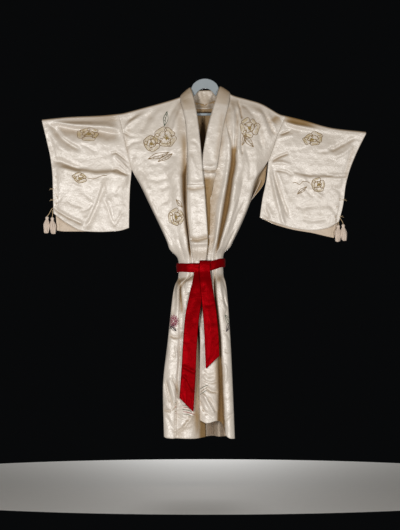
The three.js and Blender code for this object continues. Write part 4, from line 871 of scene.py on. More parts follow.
def draped_front(half, t):
    """The whole front section with its creases pressed in, and its painted shade from how deep each point
    lies and from the listed paths.

    It runs right across: the overlap panel's points, then the body panel's from their seam.
    """
    whole = fold_lines(overlap_line, half, t, len(OVERLAP_STEPS)) + fold_lines(front_line, half, t)
    points = across(np.stack(whole, axis=1), OVERLAP_STEPS + PANEL_STEPS)
    x, z = points[..., 0].copy(), points[..., 2].copy()
    points[..., 1] -= off_sash(t) * pressed(f"front_{half}", x, z, FRONT_SEED)
    flap = slice(0, sum(OVERLAP_STEPS) + 1)
    low = soft((t - FLAP_CREASED["from"]) / FLAP_CREASED["over"])[:, None]
    points[:, flap, 1] -= low * crease_height(CREASES[f"overlap_{half}"], x[:, flap], z[:, flap])
    return points, np.maximum(sunk(points, facing_flap=FACING_FLAP), painted_shade(f"front_{half}", x, z))


def body_front(half, t):
    """The front of a body panel and its painted shade, from how deep it lies. Below the armhole its side
    edge is straight.
    """
    point = OVERLAP_START[half]["point"]
    points, depth = draped_front(half, np.maximum(t, point))
    seam = sum(OVERLAP_STEPS)
    points, depth = points[:, seam:], depth[:, seam:]
    below = soft((t - LEVEL["armpit"]) / LEVELLED)[:, None] * (1 - off_side(points.shape[1]))
    level = front_line(half, SIDE, np.maximum(t, point))[:, None, 1]
    points[..., 1] = mix(points[..., 1], level + (points[..., 1] - points[:, -1:, 1]), below)
    # Above the overlap panel's point the body panel runs on alone
    alone = across(np.stack(fold_lines(front_line, half, t), axis=1), PANEL_STEPS)
    x, z = alone[..., 0].copy(), alone[..., 2].copy()
    alone[..., 1] -= soft(t / TOP_CREASED)[:, None] * pressed(f"front_{half}", x, z, FRONT_SEED)
    above = (t < point)[:, None]
    alone_depth = np.maximum(sunk(alone), painted_shade(f"front_{half}", x, z))
    return np.where(above[..., None], alone, points), np.where(above, alone_depth, depth)


# Gathers of the back at the sash: how deep, how many levels they reach, how many, how uneven
WAIST_GATHERS = {"deep": 2.2, "reach": 0.9, "count": 7, "uneven": 0.35, "drift": 5}


def waist_gathers(t, share):
    """Small gathers of the back where the sash draws it in, none of them forward of the cloth."""
    g = WAIST_GATHERS
    near = bell((t - WAIST) / g["reach"])[:, None]
    wave = np.sin(2 * math.pi * (g["count"] * share + g["uneven"] * np.sin(g["drift"] * share)))
    return -g["deep"] * near * (0.5 + 0.5 * wave)[None]


def body_back(half, t):
    points = across(np.stack(fold_lines(back_line, half, t), axis=1), PANEL_STEPS)
    x, z = points[..., 0].copy(), points[..., 2].copy()
    columns = points.shape[1]
    free = off_side(columns)
    stirred = off_sash(t) * pressed("back", x, z, BACK_SEED) * free
    points[..., 1] += soft(t / TOP_CREASED)[:, None] * stirred
    points[..., 1] += waist_gathers(t, np.linspace(0, 1, columns)) * free
    return points


def body_panel(half):
    """One panel in one length, from the front hem over the shoulder to the back hem."""
    t = sections(PANEL_TOP, LEVEL["hem"])
    front, depth = body_front(half, t)
    back = body_back(half, t)
    columns = np.arange(front.shape[1])
    sewn = soft(t / PINCH["over"]) * (t < LEVEL["armpit"] + PINCH["over"])
    pinch = sewn[:, None] * PINCH[half] * bell((columns[-1] - columns) / PINCH["columns"])
    front[..., 1] += pinch
    back[..., 1] -= pinch
    shoulder = np.array(HALF[half]["shoulder"], float).T
    top = [across(row, PANEL_STEPS) for row in fold_over(shoulder)]
    flat = [np.zeros((1, len(columns)))] * len(top)
    points = np.concatenate([front[::-1], *top, back])
    return points, np.concatenate([depth[::-1], *flat, sunk(back * SEEN_BEHIND)])


def overlap_panel(half):
    t = sections(OVERLAP_START[half]["point"], LEVEL["hem"])
    points, depth = draped_front(half, t)
    mine = slice(0, sum(OVERLAP_STEPS) + 1)
    return points[:, mine], depth[:, mine]


def side_seam(half):
    """Middle of the side seam below the armhole, between the edges of the front and the back."""
    t = np.linspace(LEVEL["slit"], LEVEL["hem"], 90)
    return (front_line(half, SIDE, t) + back_line(half, SIDE, t)) / 2


# Fall of a sleeve: depth of a layer at its outer edge, in its middle and at its free inner edge, then
# the shares of its drop ("down") and width ("in") over which it opens and takes its creases
SLEEVE_FALL = {
    "outer": 9, "layer": 20, "inner": 10,
    "down": 0.25, "in": 0.22, "creased_down": 0.06, "creased_in": 0.1,
}
# Depths at which a valley between its folds starts to take its painted shade and takes it fully
SLEEVE_VALLEY = {"start": 9, "full": 44}
# The back takes the front's creases weaker and shifted, with crumples of its own
SLEEVE_SEED = {FRONT_WAY: 31, BACK_WAY: 37}
SLEEVE_BACK = {"share": 0.6, "right": 22, "up": 14}


def armhole_share(half):
    top_z = SLEEVE[half]["top"][0][1] - SHOULDER_ROUND
    return (HALF[half]["armpit"] - top_z) / (SLEEVE[half]["front_hem"][0][1] - top_z)


def sleeve_creases(half, facing, x, z):
    """How far a layer's creases and crumples push it out."""
    rough = crumples(x, z, SLEEVE_SEED[facing])
    creases = CREASES[f"sleeve_{half}"]
    if facing == FRONT_WAY:
        return crease_height(creases, x, z) + rough
    back = SLEEVE_BACK
    return back["share"] * crease_height(creases, x + back["right"], z + back["up"]) + rough


def sleeve_points(half, facing, f, u):
    """A layer of the sleeve at shares f of its drop and u of its width."""
    shape, fall = SLEEVE[half], SLEEVE_FALL
    hem = shape["front_hem" if facing == FRONT_WAY else "back_hem"]
    share = armhole_share(half)
    sewn = f <= share + 1e-6
    t = np.minimum(1, f / share)
    seam = (front_line if facing == FRONT_WAY else back_line)(half, SIDE, t)
    inner_x = line(shape["inner"], np.clip((f - share) / (1 - share), 0, 1))[0]
    sx = np.where(sewn, seam[..., 0], inner_x)
    ox = line(shape["outer"], f)[0]
    tx, tz = line(shape["top"], u)
    hx, hz = line(hem, u)
    straight = mix(shape["top"][0][0], shape["top"][-1][0], u)
    low = mix(shape["inner"][-1][0], hem[-1][0], u)
    x = mix(sx, ox, u) + mix(tx - straight, hx - low, f) + u * f * (hem[-1][0] - shape["outer"][-1][0])
    drop = seam[..., 2] - mix(shape["top"][0][1] - SHOULDER_ROUND, hem[0][1], f)
    z = mix(tz - SHOULDER_ROUND, hz, f) + np.where(sewn, drop * (1 - u) ** 3, 0)
    swell = np.sin(math.pi * np.minimum(1, 0.12 + u * 0.94)) ** 0.5
    opened = mix(fall["outer"], fall["layer"], swell)
    hang = mix(SHOULDER_ROUND, opened, soft(f / fall["down"]))
    inner_y = np.where(sewn, np.abs(seam[..., 1]), fall["inner"])
    y = facing * mix(inner_y, hang, soft(u / fall["in"]))
    free = soft(u / fall["creased_in"]) * soft(f / fall["creased_down"])
    y = y + facing * free * sleeve_creases(half, facing, x, z)
    pulled = bell(u * SLEEVE_GRID["columns"] / PINCH["columns"]) * sewn * soft(f / PINCH["sleeve_over"])
    return np.stack([x, y - facing * PINCH["sleeve"] * pulled, z], axis=-1)


def sleeve(half):
    """One sleeve: a length folded over its top, its layers free along the cuff, hem and inner edge."""
    grid = SLEEVE_GRID
    share = armhole_share(half)
    u = np.linspace(0, 1, grid["columns"] + 1)
    sewn = np.linspace(grid["first_row"], 1, grid["sewn_rows"]) * share
    drop = np.concatenate([sewn, mix(share, 1, np.linspace(0, 1, grid["free_rows"])[1:])])
    ff, uu = (g.ravel() for g in np.meshgrid(drop, u, indexing="ij"))
    front, back = (
        sleeve_points(half, facing, ff, uu).reshape(len(drop), len(u), 3)
        for facing in (FRONT_WAY, BACK_WAY)
    )
    over = fold_over(np.array(line(SLEEVE[half]["top"], u)))
    shade = np.maximum(sunk(front, **SLEEVE_VALLEY), painted_shade(f"sleeve_{half}", front[..., 0], front[..., 2]))
    top_shade = [shade[:1]] * len(TURNS) + [0.4 * shade[:1]] * (len(TURNS) + 1)
    depth = [shade[::-1], *top_shade, sunk(back * SEEN_BEHIND, **SLEEVE_VALLEY)]
    return np.concatenate([front[::-1], *over, back]), np.concatenate(depth)


# The collar's band: its grid, its arch, how far its outer edge drops from a share of its width on,
# and the station of the nape with the stations that are wrinkled there
BAND = {"columns": 14, "row": 4.5, "arch": 2, "drop": 4.4, "from": 0.78}
NAPE = {"station": 13, "smooth": 3.2, "over": 1.5, "wide": 1.4, "wrinkles": 3}
HIDDEN_FROM = 20.2  # station from which the left lapel lies under the right one


def collar_wrinkles(points, station):
    """How far the collar's creases and wrinkles stand out from it."""
    x, y, z = (points[..., k] for k in range(3))
    wrinkled = 1.0 * crumple(x, z, 27, 41) + 0.3 * crumple(x * 0.7 + z * 0.5, z, 12, 42)
    off = station - NAPE["station"]
    shoulder = soft((np.abs(off) - NAPE["smooth"]) / NAPE["over"])[:, None]
    nape = bell(off / NAPE["wide"], 4)[:, None]
    creased = crease_height(CREASES["collar"], x, z) * (y < 10)
    return wrinkled * shoulder + creased + NAPE["wrinkles"] * nape * crumple(x * 1.5, z * 0.6, 12, 5)


def collar_band(start=0, end=len(COLLAR) - 1, lift=0, inset=0):
    """A band of the collar between two stations, lifted off it and set in from its edges."""
    station = np.linspace(start, end, 800)
    middle = (collar_edge(station, 0) + collar_edge(station, 1)) / 2
    run = np.concatenate([[0], np.cumsum(np.linalg.norm(np.diff(middle, axis=0), axis=1))])
    station = np.interp(np.linspace(0, run[-1], round(run[-1] / BAND["row"])), run, station)
    a, b = collar_edge(station, 0), collar_edge(station, 1)
    ahead = collar_edge(np.minimum(station + 0.1, len(COLLAR) - 1), 0)
    normal = np.cross(ahead - collar_edge(np.maximum(station - 0.1, 0), 0), b - a)
    normal /= np.linalg.norm(normal, axis=1, keepdims=True)
    s = np.linspace(inset, 1 - inset, BAND["columns"] + 1)
    edge = soft((s - BAND["from"]) / (1 - BAND["from"]))
    raised = lift + BAND["arch"] * np.sin(math.pi * s) - BAND["drop"] * edge
    points = a[:, None] + (b - a)[:, None] * s[:, None] + normal[:, None] * raised[:, None]
    x, y, z = (points[..., k] for k in range(3))
    # Painted shade where the left lapel lies under the right one, on the lapels' upward-facing tops and at
    # the nape
    hidden = soft((station - HIDDEN_FROM) / 0.2)[:, None] * painted_shade("under_lapel", x, z)
    depth = np.maximum(hidden, np.where(y < 14, painted_shade("collar", x, z), painted_shade("nape", x, z)))
    return points + normal[:, None] * collar_wrinkles(points, station)[..., None], depth


def sash_loop():
    """The sash around the waist: a ring, its middle rising to the left half."""
    a = np.linspace(0, 2 * math.pi, 181)
    along = np.where(a > math.pi, a, -a) * SASH["half_wide"]
    flat = 0 * a
    edge = SASH["width"] / 2 - 1.2 * np.cos(3 * a + 1)
    waved = 0.8 * crumple(along, flat, 30, 6)
    rows = []
    for v in np.linspace(1, -1, 15):
        x = SASH["centre"] + SASH["half_wide"] * np.cos(a)
        broad = 0.7 * crumple(along, v * 26 + 40 + flat, 17, 3)
        fine = 0.5 * crumple(along, v * 60 + 80 + flat, 9, 4)
        full = 1 + 0.022 * (1 - v * v) + (broad + fine) / SASH["half_deep"]
        y = SASH["half_deep"] * np.sin(a) * full
        z = sash_z(x) + v * edge + waved
        rows.append(np.stack([SASH["centre"] + (x - SASH["centre"]) * full, y, z], axis=-1))
    rows = np.stack(rows)
    rows[:, -1] = rows[:, 0]
    return rows


# Form of a tail: its grid, where the slanted end starts, how full it is across, how far its ridges
# and waves stand out
TAIL_FORM = {"rows": 150, "columns": 18, "slanted_from": 0.6, "full": 1.5, "ridges": 1.6, "waves": 1.1}


def sash_tail(tail):
    """A tail of the sash: a strip down its path, soft folds along it, its end cut on the slant."""
    at = np.cumsum([0, *(math.dist(a, b) for a, b in zip(tail["path"], tail["path"][1:]))])
    s = np.linspace(0, 1, TAIL_FORM["rows"] + 1)
    run = s * at[-1]
    middle = np.stack([through(at, [q[k] for q in tail["path"]], run) for k in range(3)], axis=-1)
    v = np.linspace(-1, 1, TAIL_FORM["columns"] + 1)
    down = np.gradient(middle, axis=0)
    down /= np.linalg.norm(down, axis=1, keepdims=True)
    over = np.cross(np.cross(down, (1.0, 0, 0)), down)
    over /= np.linalg.norm(over, axis=1, keepdims=True)
    over *= np.sign(over[:, :1])
    out = np.cross(down, over)
    out *= np.sign(-out[:, 1:2] - 0.3 * out[:, 2:3] + 1e-6)
    half_wide = v * through(at, tail["wide"], run)[:, None] / 2
    points = middle[:, None] + over[:, None] * half_wide[..., None]
    slanted = soft((s - TAIL_FORM["slanted_from"]) / (1 - TAIL_FORM["slanted_from"]))[:, None]
    points[..., 2] += slanted * mix(tail["cut"][0], tail["cut"][1], (v + 1) / 2)[None]
    vv, rr = np.meshgrid(v, run)
    ridges = TAIL_FORM["ridges"] * crumple(vv * 22, rr / 7, 13, tail["seed"])
    waves = TAIL_FORM["waves"] * crumple(vv * 30 + rr * 0.15, rr, 24, tail["seed"] + 1)
    drawn = np.clip((run - 40) / 80, 0.25, 1)[:, None]
    creased = crease_height(tail["creases"], vv * 28, rr)
    pushed = TAIL_FORM["full"] * (1 - vv * vv) + drawn * (ridges + waves) + creased
    return points + out[:, None] * pushed[..., None]


def linear(code):
    """A colour written as sRGB hex, as the shader's linear values."""
    parts = [int(code[i:i + 2], 16) / 255 for i in (1, 3, 5)]
    return [c / 12.92 if c <= 0.04045 else ((c + 0.055) / 1.055) ** 2.4 for c in parts] + [1.0]


def blank(name):
    material = bpy.data.materials.new(name)
    material.use_nodes = True
    tree = material.node_tree
    tree.nodes.clear()
    return material, tree


def add(tree, kind, links=None, **settings):
    """Adds a shader node with its settings, the values of its sockets and its links."""
    made = tree.nodes.new("ShaderNode" + kind)
    for key, value in settings.items():
        setattr(made, key, value)
    for socket, value in (links or {}).items():
        if isinstance(value, tuple) and isinstance(value[0], bpy.types.Node):
            tree.links.new(value[0].outputs[value[1]], made.inputs[socket])
        else:
            made.inputs[socket].default_value = value
    return made


def noise(tree, place, scale, detail=2.0, roughness=0.5, distortion=0.0, **settings):
    """A noise whose features are 1 / scale metres across. place is a node and its output."""
    return add(tree, "TexNoise", {
        "Vector": place, "Scale": scale, "Detail": detail,
        "Roughness": roughness, "Distortion": distortion,
    }, **settings)


def blend(tree, factor, a, b):
    return add(tree, "Mix", {0: factor, 6: a, 7: b}, data_type="RGBA")


def ranged(tree, value, low, high, start=0.0, end=1.0, **settings):
    """Turns start to end into low to high."""
    return add(tree, "MapRange", {
        "Value": value, "From Min": start, "From Max": end, "To Min": low, "To Max": high,
    }, **settings)


def bump(tree, height, strength, distance, under=None):
    """A bump on top of the one under it."""
    links = {"Height": height, "Strength": strength, "Distance": distance}
    if under:
        links["Normal"] = (under, "Normal")
    return add(tree, "Bump", links)


def surface(tree, sockets):
    shader = add(tree, "BsdfPrincipled", sockets)
    add(tree, "OutputMaterial", {"Surface": (shader, "BSDF")})


def satin_relief(tree, place, crinkled, creased):
    """Crinkles, creases and warp of a satin, as one bump."""
    # Fine crinkles 4 to 12 mm across from folding and wear
    crinkle = noise(tree, place, 85.0, detail=3.0, roughness=0.6, distortion=0.8)
    worn = bump(tree, (crinkle, "Fac"), crinkled, 0.003)
    # Sharp creases 30 to 80 mm long, slanting as the cloth was once folded and crushed
    slant = add(tree, "Mapping", {
        "Vector": place, "Rotation": (0, math.radians(28), 0), "Scale": (1.0, 0.4, 0.62),
    })
    crushed = noise(tree, (slant, "Vector"), 17.0, distortion=0.9, noise_type="RIDGED_MULTIFRACTAL")
    worn = bump(tree, (crushed, "Fac"), creased, 0.006, worn)
    # Warp threads lie about 0.1 mm apart: drawn 2 mm apart, so that they show in the picture
    uv = add(tree, "UVMap", uv_map="cloth")
    warp = {"Vector": (uv, "UV"), "Scale": 500 / (2 * math.pi), "Distortion": 0.6}
    threads_across = add(tree, "TexWave", warp, bands_direction="X")
    return bump(tree, (threads_across, "Fac"), 0.1, 0.0005, worn)


def satin(name, face, warm, deep, roughness=0.42, sheen=0.1, gloss=0.7, shine="#ffffff", upward_shade=0.6,
          attribute="fold", crinkled=0.5, creased=0.3):
    """Silk satin: long floats on its face give a broad soft gloss along the warp."""
    material, tree = blank(name)
    place = (add(tree, "TexCoord"), "Object")
    cloudy = noise(tree, place, 7.0, detail=4.0)
    base = blend(tree, (cloudy, "Fac"), linear(face), linear(warm))
    # Painted shade: valleys between folds and the listed painted places are mixed towards the dark brown,
    # standing in for their shadow and the cloth's brown reflections
    fold = (add(tree, "Attribute", attribute_name=attribute), "Fac")
    depth = ranged(tree, fold, 0.0, 0.82)
    shaded = blend(tree, (depth, "Result"), (base, 2), linear(deep))
    # Painted shade: the silk is mixed towards the dark brown where it faces up, as it turns away from the
    # light
    facing = add(tree, "NewGeometry")
    upward = add(tree, "SeparateXYZ", {"Vector": (facing, "Normal")})
    shaded_upward = ranged(tree, (upward, "Z"), 0.0, upward_shade, 0.12, 0.75, interpolation_type="SMOOTHSTEP")
    shaded = blend(tree, (shaded_upward, "Result"), (shaded, 2), linear(deep))
    relief = satin_relief(tree, place, crinkled, creased)
    # Painted shade: the gloss fades where the shade is painted in
    dull = ranged(tree, fold, gloss, 0.12)
    rough = ranged(tree, (cloudy, "Fac"), roughness - 0.05, roughness + 0.06)
    tangent = add(tree, "Tangent", direction_type="UV_MAP", uv_map="cloth")
    surface(tree, {
        "Base Color": (shaded, 2), "Roughness": (rough, "Result"), "Normal": (relief, "Normal"),
        "Tangent": (tangent, "Tangent"), "Anisotropic": 0.4, "IOR": 1.5,
        "Specular IOR Level": (dull, "Result"), "Specular Tint": linear(shine),
        "Sheen Weight": sheen, "Sheen Roughness": 0.45, "Sheen Tint": linear(face),
    })
    return material


def silk_thread(name, colour, second, roughness=0.55, metal=0.0, ply=400.0):
    """Twisted silk or metal-wrapped thread: its ply shows as fine light and dark flecks."""
    material, tree = blank(name)
    flecks = (noise(tree, (add(tree, "TexCoord"), "Object"), ply), "Fac")
    tone = blend(tree, flecks, linear(colour), linear(second))
    surface(tree, {
        "Base Color": (tone, 2), "Roughness": roughness, "Metallic": metal,
        "Normal": (bump(tree, flecks, 0.4, 0.0004), "Normal"),
        "Sheen Weight": 0.15, "Sheen Roughness": 0.5,
    })
    return material


def moulded_plastic():
    """Injection-moulded polypropylene: pale blue-grey, satin from the mould, faint flow marks."""
    material, tree = blank("moulded_polypropylene")
    place = (add(tree, "TexCoord"), "Object")
    flow = noise(tree, place, 18.0, detail=4.0)
    tone = blend(tree, (flow, "Fac"), linear("#909aa0"), linear("#a2aaae"))
    grain = bump(tree, (noise(tree, place, 700.0), "Fac"), 0.15, 0.0003)
    surface(tree, {"Base Color": (tone, 2), "Roughness": 0.42, "IOR": 1.49, "Normal": (grain, "Normal")})
    return material


def floor_paint():
    """Matt paint, rolled on: a faint unevenness in its tone."""
    material, tree = blank("pale_matt_floor")
    grain = noise(tree, (add(tree, "TexCoord"), "Object"), 40.0)
    tone = blend(tree, (grain, "Fac"), linear("#c9c8c5"), linear("#cfcecb"))
    surface(tree, {"Base Color": (tone, 2), "Roughness": 0.8})
    return material


# Each satin's third colour is its painted shade, mixed in by its shade attribute and where it faces up
CREAM = satin("cream_silk_satin", "#e4dcd3", "#cec4b7", "#8e6a20", roughness=0.37, gloss=1.0)
LINING = satin("warm_silk_lining", "#d9ccbd", "#c0ac94", "#a58658", roughness=0.5, gloss=0.5,
               attribute="inner")
RED = satin("red_satin_ribbon", "#84000b", "#6c0008", "#2c0003", roughness=0.36, sheen=0.0, gloss=0.9,
            shine="#e01a28", upward_shade=0.15, crinkled=0.3)
GOLD = silk_thread("gold_wrapped_thread", "#9c7f4c", "#7b6034", roughness=0.4, metal=0.2)
YELLOW_GOLD = silk_thread("yellow_gold_silk_thread", "#b0985c", "#90773c")
PALE_GOLD = silk_thread("pale_gold_silk_thread", "#d3c49c", "#c4af80")
PINK = silk_thread("rose_silk_thread", "#9d3f5a", "#7d2d46")
GREEN = silk_thread("grey_green_silk_thread", "#66735f", "#4c5748")
DARK = silk_thread("plum_grey_silk_thread", "#564a50", "#3c3338")
SCARLET = silk_thread("scarlet_silk_thread", "#b03a3c", "#962a2c")
FLOSS = silk_thread("ivory_silk_floss", "#e8dcd0", "#cdb9a8", ply=250.0)
CORD = silk_thread("tan_silk_cord", "#c8b594", "#a08560")
PLASTIC = moulded_plastic()


def placed(name, data, slot=None):
    """A new object in the scene. With a slot, it rides the part's one body."""
    made = bpy.data.objects.new(name, data)
    bpy.context.collection.objects.link(made)
    if slot:
        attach(made, "root")
    return made


def mesh_of(name, bm, *materials):
    mesh = bpy.data.meshes.new(name)
    bm.to_mesh(mesh)
    bm.free()
    for material in materials:
        mesh.materials.append(material)
    return mesh


def lengths_along(points, axis):
    """How far each row or column of a sheet lies from its first, in metres."""
    steps = np.linalg.norm(np.diff(points, axis=axis), axis=2)
    return np.cumsum([0, *steps.mean(axis=1 - axis)]) * MM


def grid_mesh(name, points, face, fold, inner, materials):
    """A flat grid bent through rows of points. face is (row, column), where it has to look forward."""
    rows, columns = points.shape[:2]
    bm = bmesh.new()
    bmesh.ops.create_grid(bm, x_segments=columns - 1, y_segments=rows - 1, size=1)
    mesh = mesh_of(name, bm, *materials)
    flat = np.empty(len(mesh.vertices) * 3)
    mesh.vertices.foreach_get("co", flat)
    flat = flat.reshape(-1, 3)
    c = np.rint((flat[:, 0] + 1) / 2 * (columns - 1)).astype(int)
    r = np.rint((flat[:, 1] + 1) / 2 * (rows - 1)).astype(int)
    mesh.vertices.foreach_set("co", (points[r, c] * MM).ravel())
    corner = np.empty(len(mesh.loops), int)
    mesh.loops.foreach_get("vertex_index", corner)
    over, down = lengths_along(points, 1), lengths_along(points, 0)
    cloth_uv = mesh.uv_layers.new(name="cloth")
    cloth_uv.data.foreach_set("uv", np.stack([over[c[corner]], down[r[corner]]], axis=-1).ravel())
    # fold and inner carry the painted shade that the satins mix in
    for key, value in (("fold", fold), ("inner", inner)):
        shade = mesh.attributes.new(key, "FLOAT", "POINT")
        shade.data.foreach_set("value", np.zeros(len(c)) if value is None else np.clip(value[r, c], 0, 1))
    row, column = face
    here = points[row, column]
    normal = np.cross(points[row, column + 1] - here, points[row + 1, column] - here)
    if np.dot(normal, (0, FRONT_WAY, 0)) < 0:
        mesh.flip_normals()
    return mesh


def close_ring(mesh):
    """Joins the first and last columns of a sheet that runs all the way round."""
    bm = bmesh.new()
    bm.from_mesh(mesh)
    bmesh.ops.remove_doubles(bm, verts=bm.verts, dist=1e-6)
    bm.to_mesh(mesh)
    bm.free()


SHEETS = {}


def cloth_piece(node, points, face, cut, also=(), thick=CLOTH, slot="satin", materials=None, ring=False,
                fold=None, inner=None):
    """A thin sheet that stands for CAD nodes. cut is its flat width and length in metres."""
    materials = materials or [CREAM, LINING]
    mesh = grid_mesh(node + "_cloth", points, face, fold, inner, materials)
    if ring:
        close_ring(mesh)
    mesh.shade_smooth()
    made = placed(node + "_cloth", mesh, slot)
    wall = made.modifiers.new("wall", "SOLIDIFY")
    wall.thickness = thick * MM
    wall.offset = 0
    wall.material_offset = len(materials) - 1
    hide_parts(node, *also)
    SHEETS[node] = (made, cut)


def unlit_lining(half, panel):
    """How dark a body panel's lining is: little light reaches its back through the neck and the side."""
    x, y, z = (panel[..., k] for k in range(3))
    through_neck = (y > 5) * soft((z + 460) / 120) * soft((120 - np.abs(x)) / 40)
    return np.maximum(0.9 * through_neck, (y > 0) * painted_shade(f"lining_{half}", x, z))


def cloth_of(half):
    """The body, overlap and sleeve panels of a half."""
    panel, depth = body_panel(half)
    unlit = unlit_lining(half, panel)
    cloth_piece(f"body_{half}", panel, (5, 20), (0.24, 2.74), fold=depth, inner=unlit)
    flap, depth = overlap_panel(half)
    cloth_piece(f"overlap_{half}", flap, (120, 14), (0.10, 1.19), fold=depth)
    arm, depth = sleeve(half)
    cloth_piece(f"sleeve_{half}", arm, (20, 20), (0.33, 0.92), fold=depth)


def collars():
    cream = [CREAM] * 2
    band, depth = collar_band()
    cloth_piece("collar", band, (50, 5), (0.066, 1.75), thick=COLLAR_WALL, materials=cream, fold=depth)
    over, depth = collar_band(**OVER_COLLAR)
    cloth_piece("over_collar", over, (5, 5), (0.062, 0.82), thick=OVER_COLLAR_WALL, materials=cream,
                fold=depth)


def sash():
    """The ribbon's loop and tails. The left tail starts with the wrap that hides the knot."""
    ribbon = {"slot": "sash_satin", "materials": [RED, RED]}
    cloth_piece("sash_loop", sash_loop(), (5, 108), (0.037, 0.47), thick=SASH["wall"], ring=True, **ribbon)
    for half, tail in TAILS.items():
        long = MM * sum(math.dist(a, b) for a, b in zip(tail["path"], tail["path"][1:]))
        hidden = ["sash_knot"] if half == "left" else []
        cloth_piece(f"sash_tail_{half}", sash_tail(tail), (60, 8), (0.054, long), also=hidden, **ribbon)


def hanger():
    for node in ("hanger_arms", "hanger_bar"):
        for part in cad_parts[node].material_slots:
            part.material = PLASTIC


def threads(name, strokes, radius, material, slot="satin", sides=0, taper=False):
    """Strokes of thread, each a run of points, as one piece."""
    data = bpy.data.curves.new(name, "CURVE")
    data.dimensions = "3D"
    data.bevel_depth = radius * MM
    data.bevel_resolution = sides
    data.use_fill_caps = True
    for stroke in strokes:
        spline = data.splines.new("POLY")
        spline.points.add(len(stroke) - 1)
        spline.points.foreach_set("co", [v for q in stroke for v in (q[0] * MM, q[1] * MM, q[2] * MM, 1)])
        if taper:
            share = np.linspace(0, 1, len(stroke))
            spline.points.foreach_set("radius", 0.7 + 0.5 * np.sin(math.pi * share))
        spline.use_smooth = True
    data.materials.append(material)
    return placed(name, data, slot)


def surfaces():
    """Each sheet as a tree of its faces, which threads are laid on."""
    made = {}
    for node, (piece, _) in SHEETS.items():
        mesh = piece.data
        faces = [tuple(q.vertices) for q in mesh.polygons]
        made[node] = BVHTree.FromPolygons([v.co for v in mesh.vertices], faces)
    return made


def laid_on(node, path, facing=FRONT_WAY, above=0.9, jump=7):
    """A path of (x, z) laid on a cloth piece from the front or the back, broken where it steps deep."""
    runs, run = [], []
    for x, z in path:
        start = Vector((x * MM, facing * 0.4, z * MM))
        hit = SURFACES[node].ray_cast(start, Vector((0, -facing, 0)))[0]
        y = None if hit is None else hit.y / MM + facing * above
        if y is None or (run and abs(y - run[-1][1]) > jump):
            if len(run) > 1:
                runs.append(run)
            run = []
        if y is not None:
            run.append((x, y, z))
    if len(run) > 1:
        runs.append(run)
    return runs


def curve_2d(points, step=0.06):
    """A smooth run through points, drawn with short steps."""
    points = np.array(points, float)
    count = max(2, int(np.linalg.norm(np.diff(points, axis=0), axis=1).sum() / step))
    if len(points) == 2:
        return points[:1] + (points[-1] - points[0]) * np.linspace(0, 1, count)[:, None]
    flat = np.column_stack([points, np.zeros(len(points))])[None]
    cells = [max(1, round(count / (len(points) - 1)))] * (len(points) - 1)
    return across(flat, cells)[0][:, :2]


def ray(angle, far=1.0):
    """The point at an angle and a distance from the middle of a motif."""
    return np.array([math.cos(angle), math.sin(angle)]) * far


# Outline of a petal with a notch at its tip: share of its width to one side, share of its length
PETAL = [(-0.42, 0), (-0.6, 0.5), (-0.4, 0.94), (0, 0.86), (0.36, 1), (0.6, 0.55), (0.46, 0.1)]

# Rings of a rose: where its petals start and end, how wide they may be, the pale stitches in each
ROSE = {
    "outer": {"base": 0.4, "reach": 1.0, "widest": 1.16, "stitches": 11},
    "inner": {"base": 0.2, "reach": 0.55, "widest": 1.0, "stitches": 6},
}


def blossom(petals, seed):
    """A full-blown rose: big uneven outer petals, three inner ones and a dense heart off the middle."""
    chance = np.random.default_rng(seed)
    heart = np.array([chance.uniform(-0.2, 0.2), chance.uniform(-0.22, 0)])
    gold, pale, dense = [], [], []
    for count, ring in ((petals, ROSE["outer"]), (3, ROSE["inner"])):
        turn = chance.uniform(0, 2 * math.pi)
        for k in range(count):
            middle = turn + 2 * math.pi * k / count + chance.uniform(-0.2, 0.2)
            wide = 2 * math.pi / count * chance.uniform(0.86, ring["widest"])
            far = ring["reach"] * chance.uniform(0.78, 1.08)
            outline = [ray(middle + wide * a, mix(ring["base"], far, r)) for a, r in PETAL]
            gold.append(curve_2d(outline) + heart * 0.5)
            for a in np.linspace(-0.36, 0.36, ring["stitches"]):
                way = ray(middle + wide * a)
                stitch = np.array([way * far * 0.9, way * far * chance.uniform(0.6, 0.76)])
                pale.append(stitch + heart * 0.5)
    for _ in range(16):
        a = chance.uniform(0, 2 * math.pi)
        start = heart + ray(a + math.pi / 2) * chance.uniform(-0.14, 0.14)
        dense.append(np.array([start, start + ray(a) * chance.uniform(0.14, 0.3)]))
    return {"gold": gold, "pale": pale, "yellow": dense}


def leaf(start, end, wide, colour="gold", ribs=3):
    """One leaf in outline with its midrib and a few ribs."""
    start, end = np.array(start, float), np.array(end, float)
    way = end - start
    side = np.array([-way[1], way[0]]) * wide
    middle = (start + end) / 2
    outline = [start, middle + side, end], [start, middle - side, end], [start, end]
    made = [curve_2d(points) for points in outline]
    for k in range(ribs):
        root = start + way * (0.3 + 0.2 * k)
        made.append(curve_2d([root, root + 0.1 * way + 0.6 * side]))
    return {colour: made}


# Rings of a chrysanthemum: how many petals, where they start and end, their turn in petals
CHRYSANTHEMUM = [(13, 0.5, 1.0, 0), (11, 0.3, 0.74, 0.5), (7, 0.1, 0.46, 0)]


def chrysanthemum():
    """Narrow petals in rings around a small heart, each drawn by its two sides."""
    rose = []
    for count, start, end, turn in CHRYSANTHEMUM:
        for k in range(count):
            a = 2 * math.pi * (k + turn) / count
            for lean in (-0.13, 0.13):
                belly = ray(a + lean, (start + end) * 0.55)
                rose.append(curve_2d([ray(a, start), belly, ray(a + lean * 0.3, end)]))
    return {"rose": rose}


def blades(count, lean, colours):
    """A sheaf of long thin leaves side by side, their ends uneven."""
    made = {}
    for k in range(count):
        y = 0.9 - 1.8 * k / (count - 1)
        root, tip = (-0.9 + 0.15 * (k % 2), y + lean), (0.9 - 0.2 * (k % 3), y - lean)
        stroke = curve_2d([root, (0, y + 0.12), tip])
        made.setdefault(colours[k % len(colours)], []).append(stroke)
    return made


def tendril(*points):
    return {"gold": [curve_2d(points)]}


